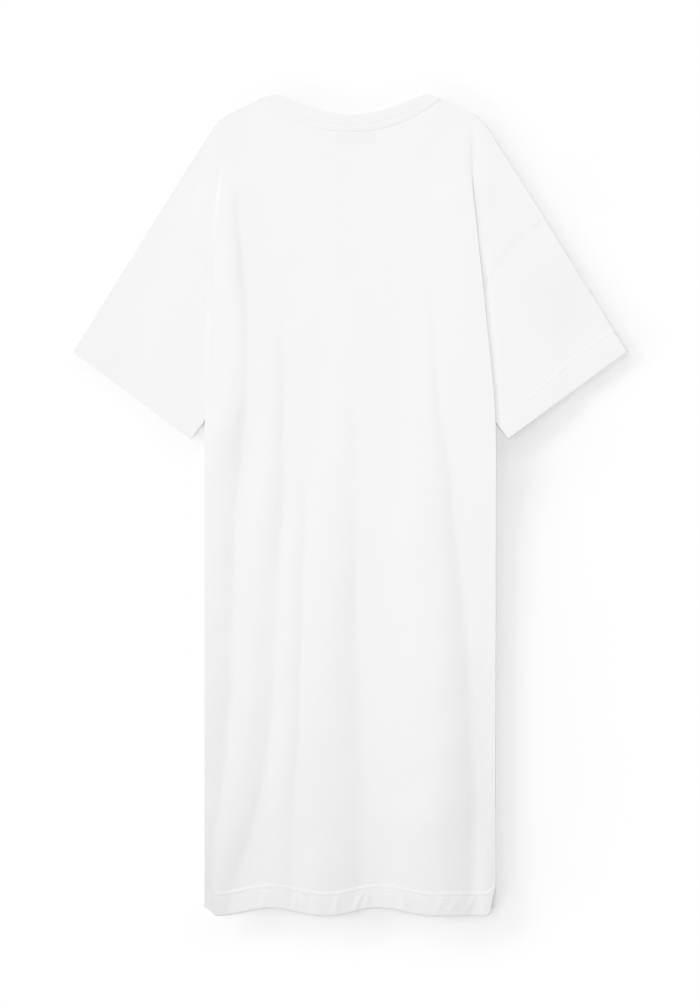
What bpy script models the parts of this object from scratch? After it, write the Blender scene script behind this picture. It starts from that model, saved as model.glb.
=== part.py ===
"""Plain jersey t-shirt dress, laid flat on a table with its back side up.

X runs across the dress, Y from the hem to the neck, Z up from the table, in metres.
The long sides are tucked in between back and front, so the body is narrower than its
cut and its edges lie over the sleeves. Functions work in "out", the distance from the
centre line, and "up", the distance from the lowest point of the hem.
"""
import math

import bmesh
import bpy
import numpy as np

# ---- cloth ----
WALL = 0.0010                  # jersey wall
HEM_WALL = 0.0012              # where a hem is turned up
RIB_WALL = 0.0012
RIB_CLEAR = 0.00005            # lets its folded ends stay above the table
PITCH = 0.0015                 # from one layer of cloth to the next
SEAM_GAP = 0.0003              # between two pieces along a seam
REST = WALL / 2                # middle of the layer that lies on the table

# ---- lengths ----
DRESS_LENGTH = 1.178           # lowest hem point to the neck points
HALF_CHEST = 0.255             # cut width of a half panel at the underarm
HALF_HEM = 0.262               # and at the hem
BODY_HEM = 0.033               # depth of the turned-up hem
SLEEVE_HEM = 0.038

# ---- neck ----
NECK_OUT = 0.103               # neck point on the inner edge of the rib
NECK_UP = DRESS_LENGTH - 0.0014
BACK_DROP = 0.0293             # centre back, inner edge of the rib
FRONT_DROP = 0.085             # centre front
RIB_WIDTH = 0.025
SEAM_OUT = 0.1308              # where the rib's seam meets the shoulder
SEAM_UP = 1.169
BACK_CURVE = 1.8               # power of the inner edge's curve across the back
BACK_SEAM_CURVE = 2.3          # power of the seam's curve

# ---- shoulder, sleeve and armhole ----
SHOULDER_ANGLE = math.radians(25.0)
SLEEVE_ANGLE = math.radians(58.1)
CORNER_OUT = 0.1875            # where the two straight edges would cross
CORNER_UP = SEAM_UP - (CORNER_OUT - SEAM_OUT) * math.tan(SHOULDER_ANGLE)
CORNER_RADIUS = 0.068
ARMHOLE_ALONG = 0.174          # corner to the armhole seam, down the sleeve's edge
TIP_ALONG = 0.396              # corner to the tip of the sleeve's hem
UNDERARM_UP = 0.780
ARMHOLE_BEND = (0.202, 0.9725)
CUFF_LOW = (0.2274, 0.6828)    # lower corner of the sleeve's hem

# ---- the tuck down each side ----
FOLD_STEPS = 3                 # straight pieces in each half turn of cloth
ARMHOLE_STEPS = 9              # straight pieces of the armhole seam
NECK_STEPS = 8                 # and of the neck seam, from the centre to the shoulder
FOLD_STARTS = 1.125            # height where the tuck begins to rise
FOLD_FLAT = 1.055              # height below which it lies flat
FOLD_LEAST = 0.0006            # its depth where it begins
STEP = PITCH / sum(math.sin(math.pi * (k + 0.5) / FOLD_STEPS) for k in range(FOLD_STEPS))
FOLD_REACH = STEP * math.cos(math.pi / (2 * FOLD_STEPS)) + WALL / 2
SLOPE_STARTS = 0.014           # how far outside the tuck a sleeve starts to come down
SLOPE_LENGTH = 0.030
LIFT_MARGIN = 0.022            # how far below the sleeve the body stays lifted
LIFT_LENGTH = 0.060
TUCK_MARGIN = 0.004
TUCK_FADE = 0.036              # width over which the back sinks beside the tuck
CENTRE_SHARE = 0.6             # share of its height that the back keeps at the centre
TUCK_COLUMNS = 3
SHOULDER_COLUMNS = 4
ARMHOLE_SHARE = 0.55           # share of the rows above the underarm that end at the armhole
UNDERARM_CLEAR = 0.004
SHOULDER_ROWS = 5              # rows of points between the armhole and the shoulder
SLEEVE_ROWS = 11               # rows from the armhole to the sleeve's hem
HEM_STEP = 0.003               # run in which a wall thickens to its hem
TUCK_HEM_RISE = 0.003          # the tucked cloth's hem stays just inside the back's
FRONT_HEM_RISE = 0.002         # and so does the front's
HEM_PULL_IN = 0.005            # the back's right hem corner is drawn in
HEM_PULL_UP = 0.034
RIDGE_FADE = 0.016             # ridges die out this far from the body's edge
RIDGE_NARROWEST = 0.004
RIDGE_RISE = (-0.10, 0.25)     # a ridge comes up between these shares of its length
RIDGE_END = (1.10, 1.35)       # and dies away between these

# ---- label ----
LABEL_SIZE = (0.052, 0.016, 0.0008)
LABEL_OUT = 0.008              # its centre, right of the centre line
LABEL_UP = 1.1147
LABEL_REST = 0.00075           # its middle's height above the table

# Outer edge of the body, from the shoulder down.
#        up,     left,   right
EDGES = ((1.125, 0.1760, 0.1716),
         (1.053, 0.1855, 0.1722),
         (0.995, 0.1920, 0.1788),
         (0.909, 0.1980, 0.1888),
         (0.824, 0.2025, 0.1973),
         (0.738, 0.2060, 0.2059),
         (0.690, 0.2090, 0.2083),
         (0.600, 0.2095, 0.2084),
         (0.000, 0.2095, 0.2084))

# Places where the hem's edge rises.
#             centre, half width, rise
HEM_RISES = ((-0.113, 0.077, 0.0112),
             (0.043, 0.076, 0.0112),
             (-0.2095, 0.020, 0.0130),
             (0.2084, 0.014, 0.0090))

# Soft ridges down the back: the crest at three heights, the width of its gentle left
# side and steep right side at the top and at the foot, and its height at both.
#          up top, up mid, up foot, out top, mid,   foot,   left widths,  right widths, heights
RIDGES = ((1.060, 0.760, 0.330, -0.175, -0.177, -0.196, 0.016, 0.014, 0.014, 0.018, 0.0012, 0.0008),
          (0.860, 0.520, 0.030, -0.122, -0.126, -0.181, 0.026, 0.040, 0.015, 0.026, 0.0006, 0.0024),
          (0.650, 0.400, 0.000, -0.084, -0.092, -0.106, 0.022, 0.034, 0.010, 0.018, 0.0003, 0.0014),
          (0.800, 0.430, 0.000, -0.018, -0.024, -0.033, 0.030, 0.052, 0.012, 0.034, 0.0005, 0.0034),
          (0.915, 0.560, 0.000, 0.096, 0.118, 0.140, 0.034, 0.060, 0.015, 0.032, 0.0009, 0.0042))


def smooth(t):
    """Ease from 0 to 1 with flat ends."""
    t = np.clip(t, 0.0, 1.0)
    return t * t * (3.0 - 2.0 * t)


def edge_out(up, side):
    """Outer edge of the body at a height; side is -1 on the left and 1 on the right."""
    rows = np.array(EDGES)[::-1]
    return np.interp(up, rows[:, 0], rows[:, 2 if side > 0 else 1])


def outline_up(out):
    """Height of the shoulder's and sleeve's outer edge: two straight lines and an arc."""
    turn = SLEEVE_ANGLE - SHOULDER_ANGLE
    reach = CORNER_RADIUS * math.tan(turn / 2)
    start = CORNER_OUT - reach * math.cos(SHOULDER_ANGLE)
    end = CORNER_OUT + reach * math.cos(SLEEVE_ANGLE)
    middle_out = start - CORNER_RADIUS * math.sin(SHOULDER_ANGLE)
    middle_up = CORNER_UP + reach * math.sin(SHOULDER_ANGLE) - CORNER_RADIUS * math.cos(SHOULDER_ANGLE)
    out = np.asarray(out, dtype=float)
    shoulder = CORNER_UP + (CORNER_OUT - out) * math.tan(SHOULDER_ANGLE)
    sleeve = CORNER_UP - (out - CORNER_OUT) * math.tan(SLEEVE_ANGLE)
    across = np.clip(out - middle_out, 0.0, 0.999 * CORNER_RADIUS)
    arc = middle_up + np.sqrt(CORNER_RADIUS ** 2 - across ** 2)
    return np.where(out < start, shoulder, np.where(out > end, sleeve, arc))


def down_sleeve(along):
    """Point on the sleeve's outer edge, a distance down from the shoulder corner."""
    return np.array((CORNER_OUT + along * math.cos(SLEEVE_ANGLE),
                     CORNER_UP - along * math.sin(SLEEVE_ANGLE)))


def underarm(side):
    """Foot of the armhole seam, beside the inner edge of the tuck."""
    inner = 2 * (edge_out(UNDERARM_UP, side) - FOLD_REACH) - HALF_CHEST
    return np.array((inner + UNDERARM_CLEAR, UNDERARM_UP))


def armhole(t, side):
    """Armhole seam: a bent line from the underarm (t = 0) to the sleeve's edge (t = 1)."""
    t = np.asarray(t, dtype=float)[..., None]
    return ((1 - t) ** 2 * underarm(side) + 2 * t * (1 - t) * np.array(ARMHOLE_BEND)
            + t ** 2 * down_sleeve(ARMHOLE_ALONG))


def back_top(out):
    """Upper edge of the back: the rib's seam across the neck, then the shoulder."""
    dip = SEAM_UP - NECK_UP + BACK_DROP + RIB_WIDTH
    neck = SEAM_UP - dip * (1 - np.clip(out / SEAM_OUT, 0, 1) ** BACK_SEAM_CURVE)
    return np.where(out < SEAM_OUT, neck, outline_up(out)) - SEAM_GAP


def front_top(out):
    """Upper edge of the front: half an ellipse at the neck, then the shoulder."""
    dip = SEAM_UP - NECK_UP + FRONT_DROP + RIB_WIDTH
    neck = SEAM_UP - dip * np.sqrt(1 - np.clip(out / SEAM_OUT, 0, 1) ** 2)
    return np.where(out < SEAM_OUT, neck, outline_up(out)) - SEAM_GAP


def hem_up(x):
    """Height of the hem's wavy edge."""
    up = np.zeros_like(x)
    for centre, half_width, rise in HEM_RISES:
        up = up + rise * np.cos(np.clip((x - centre) / half_width, -1, 1) * math.pi / 2) ** 2
    return up


def fold_angle(up):
    """How far the tuck's cloth has turned over: 0 at the shoulder, half a turn below."""
    return math.pi * smooth((FOLD_STARTS - up) / (FOLD_STARTS - FOLD_FLAT))


def tuck_depth(up, side):
    """Width of the cloth turned in between the layers."""
    grown = np.clip((FOLD_FLAT - up) / (FOLD_FLAT - UNDERARM_UP), 0, 1)
    cut = np.interp(up, (0, UNDERARM_UP), (HALF_HEM, HALF_CHEST))
    full = cut - (edge_out(np.minimum(up, UNDERARM_UP), side) - FOLD_REACH)
    return FOLD_LEAST + (full - FOLD_LEAST) * grown


def half_drop(up):
    """Height that one turn of the tuck takes up."""
    angle = fold_angle(up)
    steps = [np.sin(angle * (k + 0.5) / FOLD_STEPS) for k in range(FOLD_STEPS)]
    return STEP * sum(steps) + FOLD_LEAST / 2 * np.sin(angle)


def under_tuck(x, up, side):
    """Share of full height where cloth runs out from the tuck and down to the table."""
    beyond = x - edge_out(up, side) - SLOPE_STARTS
    return 1 - smooth(beyond / SLOPE_LENGTH)


def low_layer(out, up, side):
    """Middle of the front's cloth and the sleeve's lower cloth outside the tuck."""
    return REST + 2 * half_drop(up) * under_tuck(out, up, side)


def back_height(out, up, side):
    """Middle of the back's top cloth, over the tucks and sleeves and low at the centre."""
    start = underarm(side)
    along = np.array(CUFF_LOW) - start
    along = along / np.hypot(*along)
    below = (out - start[0]) * along[1] - (up - UNDERARM_UP) * along[0]
    on_sleeve = 1 - smooth((below - LIFT_MARGIN) / LIFT_LENGTH)
    inner = edge_out(up, side) - FOLD_REACH - tuck_depth(up, side) - TUCK_MARGIN
    on_tuck = smooth((out - inner + TUCK_FADE) / TUCK_FADE)
    held = CENTRE_SHARE + (1 - CENTRE_SHARE) * on_tuck
    return REST + PITCH + 2 * half_drop(up) * (1 + on_sleeve) * held


def ridge_height(x, up):
    """Soft ridges on the back, each with a gentle left side and a steep right side."""
    height = np.zeros_like(x)
    for (top, middle, foot, x_top, x_middle, x_foot,
         left_top, left_foot, right_top, right_foot, high_top, high_foot) in RIDGES:
        share = (top - up) / (top - foot)
        bend = (top - middle) / (top - foot)
        pull = (x_middle - x_top - (x_foot - x_top) * bend) / (bend * (1 - bend))
        crest = x_top + (x_foot - x_top) * share + pull * share * (1 - share)
        left = left_top + (left_foot - left_top) * share
        right = right_top + (right_foot - right_top) * share
        width = np.maximum(np.where(x < crest, left, right), RIDGE_NARROWEST)
        grown = (smooth((share - RIDGE_RISE[0]) / (RIDGE_RISE[1] - RIDGE_RISE[0]))
                 * smooth((RIDGE_END[1] - share) / (RIDGE_END[1] - RIDGE_END[0])))
        high = high_top + (high_foot - high_top) * np.clip(share, 0, 1)
        height = height + high * grown * np.exp(-((x - crest) / width) ** 2)
    return height


def side_edge(share, side):
    """Outer edge of a panel above the underarm: up the armhole, then up the outline."""
    if share <= ARMHOLE_SHARE:
        return armhole(share / ARMHOLE_SHARE, side) - np.array((SEAM_GAP, 0.0))
    high = (share - ARMHOLE_SHARE) / (1 - ARMHOLE_SHARE)
    out = down_sleeve(ARMHOLE_ALONG)[0] * (1 - high) + CORNER_OUT * high
    return np.array((out, float(outline_up(out)) - SEAM_GAP))


def row_up(place, zone, share, side, is_back):
    """Height of a panel's row at a distance from the centre line."""
    if zone == "high":
        top_edge = back_top if is_back else front_top
        return UNDERARM_UP + share * (top_edge(place) - UNDERARM_UP)
    hem = hem_up(side * place) + (0.0 if is_back else FRONT_HEM_RISE)
    return hem + share * (UNDERARM_UP - hem)


def panel_side(side, is_back, across, lower_rows, upper_rows):
    """Grid of one half of a panel, from the centre line to its outer edge.

    across holds the shares of the flat run's width at each column. Each row then turns
    over, runs back towards the centre and, above the underarm, turns once more and runs
    out to the armhole. Below the underarm those last columns are left out (nan).
    """
    up_sign = -1.0 if is_back else 1.0
    rows = []
    for zone, share in [("low", s) for s in lower_rows] + [("high", s) for s in upper_rows]:
        fold_up = float(row_up(EDGES[0][2] - FOLD_REACH, zone, share, side, is_back))
        start = edge_out(fold_up, side) - FOLD_REACH
        if is_back and side > 0:
            start = start - HEM_PULL_IN * smooth(1 - fold_up / HEM_PULL_UP)
        out = across * start
        up = row_up(out, zone, share, side, is_back)
        fold_up = float(up[-1])
        if is_back:
            flat = back_height(out, up, side)
            edge_fade = 1 - smooth((out - start + RIDGE_FADE) / RIDGE_FADE)
            height = flat + ridge_height(side * out, up) * edge_fade
        else:
            flat = np.full_like(out, REST)
            height = flat
        line = [(o, u, h) for o, u, h in zip(out, up, height)]

        angle = float(fold_angle(fold_up))
        depth = float(tuck_depth(fold_up, side))
        tuck_up = fold_up + (TUCK_HEM_RISE * (1 - share) if zone == "low" else 0.0)
        x, z = line[-1][0], line[-1][2]
        for k in range(FOLD_STEPS):
            turn = angle * (k + 0.5) / FOLD_STEPS
            x += STEP * math.cos(turn)
            z += up_sign * STEP * math.sin(turn)
            line.append((x, tuck_up, z))
        for k in range(1, TUCK_COLUMNS + 1):
            place = x + depth * math.cos(angle) * k / TUCK_COLUMNS
            if is_back and fold_up < FOLD_FLAT:
                rise = float(back_height(place, tuck_up, side) - PITCH)
            else:
                rise = z + up_sign * depth * math.sin(angle) * k / TUCK_COLUMNS
            line.append((place, tuck_up, rise))
        if zone == "low":
            line += [(math.nan,) * 3] * (FOLD_STEPS + SHOULDER_COLUMNS)
        else:
            x, z = line[-1][0], line[-1][2]
            for k in range(FOLD_STEPS):
                turn = angle * (1 - (k + 0.5) / FOLD_STEPS)
                x += STEP * math.cos(turn)
                z += up_sign * STEP * math.sin(turn)
                line.append((x, tuck_up, z))
            end = side_edge(share, side)
            for k in range(1, SHOULDER_COLUMNS + 1):
                part = k / SHOULDER_COLUMNS
                place = x + (end[0] - x) * part
                high = tuck_up + (end[1] - tuck_up) * part
                rise = float(low_layer(place, high, side)) + (PITCH if is_back else 0.0)
                line.append((place, high, rise))
        rows.append(line)
    grid = np.array(rows)
    grid[..., 0] *= side
    return grid


def make_material(name, colour, roughness):
    """Undyed cloth: one colour, matt, not metallic."""
    material = bpy.data.materials.new(name)
    material.use_nodes = True
    shader = material.node_tree.nodes["Principled BSDF"]
    shader.inputs["Base Color"].default_value = (*colour, 1.0)
    shader.inputs["Roughness"].default_value = roughness
    shader.inputs["Metallic"].default_value = 0.0
    return material


def place_mesh(name, mesh_data, collection, material):
    """Move the lowest hem point to half a length below the origin and add the object."""
    bmesh.ops.translate(mesh_data, verts=mesh_data.verts, vec=(0.0, -DRESS_LENGTH / 2, 0.0))
    mesh = bpy.data.meshes.new(name)
    mesh_data.to_mesh(mesh)
    mesh_data.free()
    mesh.materials.append(material)
    piece = bpy.data.objects.new(name, mesh)
    collection.objects.link(piece)
    mesh.shade_smooth()
    mesh.set_sharp_from_angle(angle=math.radians(40))
    return piece


def give_wall(piece, thickness, hem_points):
    """Turn a sheet into a closed wall, a little thicker at the points of its hem."""
    wall = piece.modifiers.new("wall", "SOLIDIFY")
    wall.thickness = thickness
    wall.offset = 0.0
    wall.use_even_offset = True
    wall.use_rim = True
    if hem_points:
        group = piece.vertex_groups.new(name="hem")
        group.add(hem_points, 1.0, "REPLACE")
        wall.thickness = HEM_WALL
        wall.vertex_group = "hem"
        wall.thickness_vertex_group = thickness / HEM_WALL


def sheet_from_grid(name, grid, thickness, thick_rows, closed, collection, material):
    """Loft quads over a grid of points; nan points are left out; closed joins its ends."""
    grid[thick_rows, :, 2] += (HEM_WALL - WALL) / 2
    mesh_data = bmesh.new()
    points = {}
    thick_points = []
    rows, columns = grid.shape[:2]
    for i in range(rows):
        for j in range(columns):
            if not np.isnan(grid[i, j, 0]):
                if i in thick_rows:
                    thick_points.append(len(points))
                points[i, j] = mesh_data.verts.new(grid[i, j])
    for i in range(rows - 1):
        for j in range(columns if closed else columns - 1):
            after = (j + 1) % columns
            ring = [(i, j), (i, after), (i + 1, after), (i + 1, j)]
            if all(corner in points for corner in ring):
                mesh_data.faces.new([points[corner] for corner in ring])
    mesh_data.normal_update()
    piece = place_mesh(name, mesh_data, collection, material)
    give_wall(piece, thickness, thick_points)
    return piece


def make_panel(name, is_back, neck_columns, lower_rows, upper_rows, collection, material):
    """Back or front: two mirrored halves that share the centre line."""
    halves = []
    for side in (-1, 1):
        top_start = float(edge_out(FOLD_STARTS, side)) - FOLD_REACH
        neck_share = SEAM_OUT / top_start
        beside = neck_share + (1 - neck_share) * np.arange(1, 5) / 4
        across = np.concatenate((neck_columns * neck_share, beside))
        halves.append(panel_side(side, is_back, across, lower_rows, upper_rows))
    grid = np.concatenate((halves[0][:, :0:-1], halves[1]), axis=1)
    hem_rows = [i for i, share in enumerate(lower_rows) if share * UNDERARM_UP <= BODY_HEM + 1e-6]
    return sheet_from_grid(name, grid, WALL, hem_rows, False, collection, material)


def make_sleeve(name, side, collection, material):
    """A flattened tube from the armhole seam to the cuff, folded along both edges."""
    tip = down_sleeve(TIP_ALONG)
    cuff = np.array(CUFF_LOW)
    length = TIP_ALONG - ARMHOLE_ALONG
    hem_share = 1 - SLEEVE_HEM / length
    shares = np.append(np.linspace(0, hem_share, SLEEVE_ROWS), (hem_share + HEM_STEP / length, 1.0))
    down = np.linspace(1, 0, ARMHOLE_STEPS + 1)
    seam = armhole(down, side) + np.array((SEAM_GAP, 0.0))
    opening = tip + (cuff - tip) * (1 - down)[:, None]
    rows = []
    for share in shares:
        flat = seam * (1 - share) + opening * share
        low = low_layer(flat[:, 0], flat[:, 1], side)
        upper = np.column_stack((flat, low + PITCH))
        lower = np.column_stack((flat, low))[::-1]
        run = upper[-1, :2] - upper[-2, :2]
        low_turn = half_turn(upper[-1], run)
        run = upper[0, :2] - upper[1, :2]
        high_turn = half_turn(upper[0], run)[::-1]
        rows.append(np.concatenate((upper, low_turn, lower, high_turn)))
    grid = np.array(rows)
    grid[..., 0] *= side
    hem_rows = list(range(SLEEVE_ROWS, len(shares)))
    return sheet_from_grid(name, grid, WALL, hem_rows, True, collection, material)


def half_turn(start, run):
    """Points of a half turn from the upper cloth down to the lower, along a run."""
    run = run / np.hypot(*run)
    points = []
    x, z = 0.0, start[2]
    for k in range(FOLD_STEPS - 1):
        turn = math.pi * (k + 0.5) / FOLD_STEPS
        x += STEP * math.cos(turn)
        z -= STEP * math.sin(turn)
        points.append((start[0] + run[0] * x, start[1] + run[1] * x, z))
    return np.array(points)


def make_rib(collection, material):
    """Neckband: a flat ring of rib, half over the back neck and half under, to the front."""
    turn_steps = 4
    angle = np.linspace(-1, 1, 2 * NECK_STEPS + 1) * math.pi / 2
    share = np.linspace(-1, 1, 2 * NECK_STEPS + 1)
    seam_out = SEAM_OUT - 2 * SEAM_GAP
    back_dip = SEAM_UP - NECK_UP + BACK_DROP + RIB_WIDTH
    front_dip = SEAM_UP - NECK_UP + FRONT_DROP + RIB_WIDTH
    back_inner = np.column_stack((NECK_OUT * share,
                                  NECK_UP - BACK_DROP * (1 - np.abs(share) ** BACK_CURVE)))
    back_outer = np.column_stack((seam_out * share,
                                  SEAM_UP - back_dip * (1 - np.abs(share) ** BACK_SEAM_CURVE)))
    front_inner = np.column_stack((NECK_OUT * np.sin(angle), NECK_UP - FRONT_DROP * np.cos(angle)))
    front_outer = np.column_stack((seam_out * np.sin(angle), SEAM_UP - front_dip * np.cos(angle)))
    low = RIB_WALL / 2 + RIB_CLEAR
    high = low + PITCH
    fold = np.array((SEAM_OUT - NECK_OUT, SEAM_UP - NECK_UP))
    fold = fold / np.hypot(*fold)

    def strip(inner, outer, height):
        return [(inner[i], outer[i], height) for i in range(len(inner))]

    ring = strip(back_inner, back_outer, high)
    for mirror, ends in ((1, front_inner), (-1, None)):
        inner = np.array((mirror * NECK_OUT, NECK_UP))
        outer = np.array((mirror * seam_out, SEAM_UP))
        outward = np.array((-mirror * fold[1], fold[0]))
        turns = np.linspace(0, math.pi, turn_steps + 1)[1:-1]
        if mirror < 0:
            turns = turns[::-1]
        for turn in turns:
            shift = outward * PITCH / 2 * math.sin(turn)
            height = low + PITCH / 2 * (1 + math.cos(turn))
            ring.append((inner + shift, outer + shift, height))
        if ends is not None:
            ring += strip(front_inner[::-1], front_outer[::-1], low)

    grid = np.array([[(*(inner + (outer - inner) * part), height) for part in (0.0, 0.5, 1.0)]
                     for inner, outer, height in ring])
    grid = np.swapaxes(grid, 0, 1)
    return sheet_from_grid("neck_rib", grid, RIB_WALL, [], True, collection, material)


def make_label(collection, material):
    """A small blank tab under the back neck."""
    mesh_data = bmesh.new()
    bmesh.ops.create_cube(mesh_data, size=1.0)
    bmesh.ops.scale(mesh_data, verts=mesh_data.verts, vec=LABEL_SIZE)
    bmesh.ops.translate(mesh_data, verts=mesh_data.verts, vec=(LABEL_OUT, LABEL_UP, LABEL_REST))
    return place_mesh("neck_label", mesh_data, collection, material)


def row_shares(*stops):
    """Shares of the body's height from (height, steps) stops, as a rising list."""
    heights = [0.0]
    for height, steps in stops:
        heights += list(np.linspace(heights[-1], height, steps + 1)[1:])
    return [height / UNDERARM_UP for height in heights]


def main():
    for old in list(bpy.data.objects):
        bpy.data.objects.remove(old, do_unlink=True)
    collection = bpy.data.collections.new("t_shirt_dress")
    bpy.context.scene.collection.children.link(collection)
    jersey = make_material("white_jersey", (0.90, 0.90, 0.90), 0.92)
    rib = make_material("white_rib_knit", (0.89, 0.89, 0.89), 0.94)
    tape = make_material("white_label_tape", (0.88, 0.88, 0.87), 0.80)

    back_rows = row_shares((BODY_HEM, 2), (BODY_HEM + HEM_STEP, 1), (0.640, 8), (UNDERARM_UP, 8))[:-1]
    front_rows = row_shares((BODY_HEM, 1), (BODY_HEM + HEM_STEP, 1), (UNDERARM_UP, 5))[:-1]
    upper_rows = np.concatenate((np.linspace(0, ARMHOLE_SHARE, ARMHOLE_STEPS + 1),
                                 np.linspace(ARMHOLE_SHARE, 1, SHOULDER_ROWS + 1)[1:]))
    back_columns = np.linspace(0, 1, NECK_STEPS + 1)
    front_columns = np.sin(back_columns * math.pi / 2)
    make_panel("back_panel", True, back_columns, back_rows, upper_rows, collection, jersey)
    make_panel("front_panel", False, front_columns, front_rows, upper_rows, collection, jersey)
    make_sleeve("sleeve_left", -1, collection, jersey)
    make_sleeve("sleeve_right", 1, collection, jersey)
    make_rib(collection, rib)
    make_label(collection, tape)


main()
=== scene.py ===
import math

import bpy
import numpy as np
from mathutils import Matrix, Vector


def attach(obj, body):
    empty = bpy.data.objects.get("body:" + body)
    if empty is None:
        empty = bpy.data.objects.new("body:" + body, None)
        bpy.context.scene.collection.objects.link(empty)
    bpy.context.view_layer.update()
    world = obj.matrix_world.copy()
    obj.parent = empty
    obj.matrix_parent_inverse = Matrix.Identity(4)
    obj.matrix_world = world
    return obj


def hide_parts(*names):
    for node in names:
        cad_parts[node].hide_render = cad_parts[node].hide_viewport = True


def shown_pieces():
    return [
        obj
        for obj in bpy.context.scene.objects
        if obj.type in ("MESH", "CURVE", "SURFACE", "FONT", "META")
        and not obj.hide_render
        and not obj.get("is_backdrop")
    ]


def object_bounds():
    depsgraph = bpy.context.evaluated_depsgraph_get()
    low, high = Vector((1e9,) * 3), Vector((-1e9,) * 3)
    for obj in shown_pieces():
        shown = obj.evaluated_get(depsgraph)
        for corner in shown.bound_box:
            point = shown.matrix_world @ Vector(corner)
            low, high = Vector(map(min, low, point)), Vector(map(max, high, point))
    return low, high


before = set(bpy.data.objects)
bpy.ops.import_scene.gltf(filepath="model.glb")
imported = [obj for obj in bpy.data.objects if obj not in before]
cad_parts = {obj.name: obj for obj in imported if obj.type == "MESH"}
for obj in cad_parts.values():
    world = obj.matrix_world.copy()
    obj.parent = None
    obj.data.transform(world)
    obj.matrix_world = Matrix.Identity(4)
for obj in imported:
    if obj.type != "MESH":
        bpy.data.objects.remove(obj)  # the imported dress, metres, each node at rest
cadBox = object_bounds()
hemLine = cadBox[0].y  # y of the lowest point of the hem
print("frame loaded:", ", ".join(sorted(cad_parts)))

# Form of the laid dress in metres. "out" is the distance from the centre line and "up" the
# height above the lowest point of the hem. side is -1 on the left and 1 on the right.
form = {
    "wall": 0.0009,  # jersey
    "pitch": 0.0012,  # from one layer of cloth to the next
    "turnSteps": 7,  # straight pieces in a half turn of cloth
    "halfChest": 0.255,  # cut width of a half panel at the underarm
    "halfHem": 0.262,
    "neckOut": 0.103,  # neck point, on the inner edge of the rib
    "neckUp": 1.1766,
    "backDrop": 0.0293,
    "frontDrop": 0.085,
    "ribWidth": 0.025,
    "seamOut": 0.1308,  # where the rib's seam meets the shoulder
    "seamUp": 1.169,
    "backCurve": 1.8,
    "backSeamCurve": 2.3,
    "shoulderAngle": math.radians(25.0),
    "sleeveAngle": math.radians(58.1),
    "cornerOut": 0.1875,  # where the shoulder and the sleeve's edge would cross
    "cornerRadius": 0.068,
    "armholeAlong": 0.174,  # corner to armhole seam, down the sleeve's edge
    "tipAlong": 0.396,  # corner to the tip of the sleeve's hem
    "underarmUp": 0.780,
    "underarmOut": 0.004,  # past the inner edge of the tuck
    "armholeBend": (0.202, 0.9725),  # the armhole's curve bends towards this point
    "cuffLow": (0.2274, 0.6828),
    "foldStarts": 1.125,  # the tuck down each side rises from here
    "foldFlat": 1.002,  # and lies flat below here
    "foldSlow": 4.0,  # power that keeps its start gentle
    "foldLeast": 0.0006,
    # the body's edge: height, and how far out it is on the left and on the right
    "edges": ((1.125, 0.1760, 0.1728), (1.053, 0.1855, 0.1738), (0.995, 0.1920, 0.1812),
              (0.909, 0.1980, 0.1906), (0.824, 0.2025, 0.1992), (0.738, 0.2060, 0.2072),
              (0.690, 0.2090, 0.2092), (0.600, 0.2095, 0.2095), (0.450, 0.2095, 0.2095),
              (0.309, 0.2095, 0.2090), (0.166, 0.2095, 0.2085), (0.050, 0.2095, 0.2094),
              (0.000, 0.2095, 0.2094)),
    # rises of the hem: x of the middle, half width, height
    "hemRises": ((-0.113, 0.077, 0.0112), (0.043, 0.076, 0.0112),
                 (-0.2095, 0.020, 0.0130), (0.2084, 0.014, 0.0090)),
    "seamInset": 0.0045,  # the shoulder seam lies this far inside the dress's outline
    "foldInset": 0.0012,  # and the front's cloth turns over it from here
    "seamDip": 0.00035,  # seams are pulled in by this much
    "seamWidth": 0.0022,
}
wall = form["wall"]
pitch = form["pitch"]
rest = wall / 2
turnSteps = form["turnSteps"]
turnPlace = (np.arange(turnSteps) + 0.5) / turnSteps
stepLength = pitch / np.sin(math.pi * turnPlace).sum()
foldReach = stepLength * np.clip(np.cos(math.pi * turnPlace), 0, None).sum() + wall / 2
cornerUp = (form["seamUp"]
            - (form["cornerOut"] - form["seamOut"]) * math.tan(form["shoulderAngle"]))


def ease(t):
    # 3t^2 - 2t^3 from 0 to 1, flat at both ends
    t = np.clip(t, 0.0, 1.0)
    return t * t * (3.0 - 2.0 * t)


def hump(t):
    # cos^2 from -1 to 1, nothing outside
    return np.cos(np.clip(t, -1.0, 1.0) * math.pi / 2) ** 2


def bell(t):
    # exp(-t^2)
    return np.exp(-t ** 2)


def unit(vectors):
    return vectors / np.linalg.norm(vectors, axis=-1, keepdims=True)


def readTable(up, heights, values):
    # straight between the rows of a table, its corners eased over 30 mm
    near = [np.interp(up + shift, heights, values) for shift in (-0.015, 0.0, 0.015)]
    return (near[0] + near[1] + near[2]) / 3


def bodyEdge(up, side):
    # outer edge of the body, from its table
    rows = np.array(form["edges"])[::-1]
    return readTable(up, rows[:, 0], rows[:, 2 if side > 0 else 1])


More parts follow.
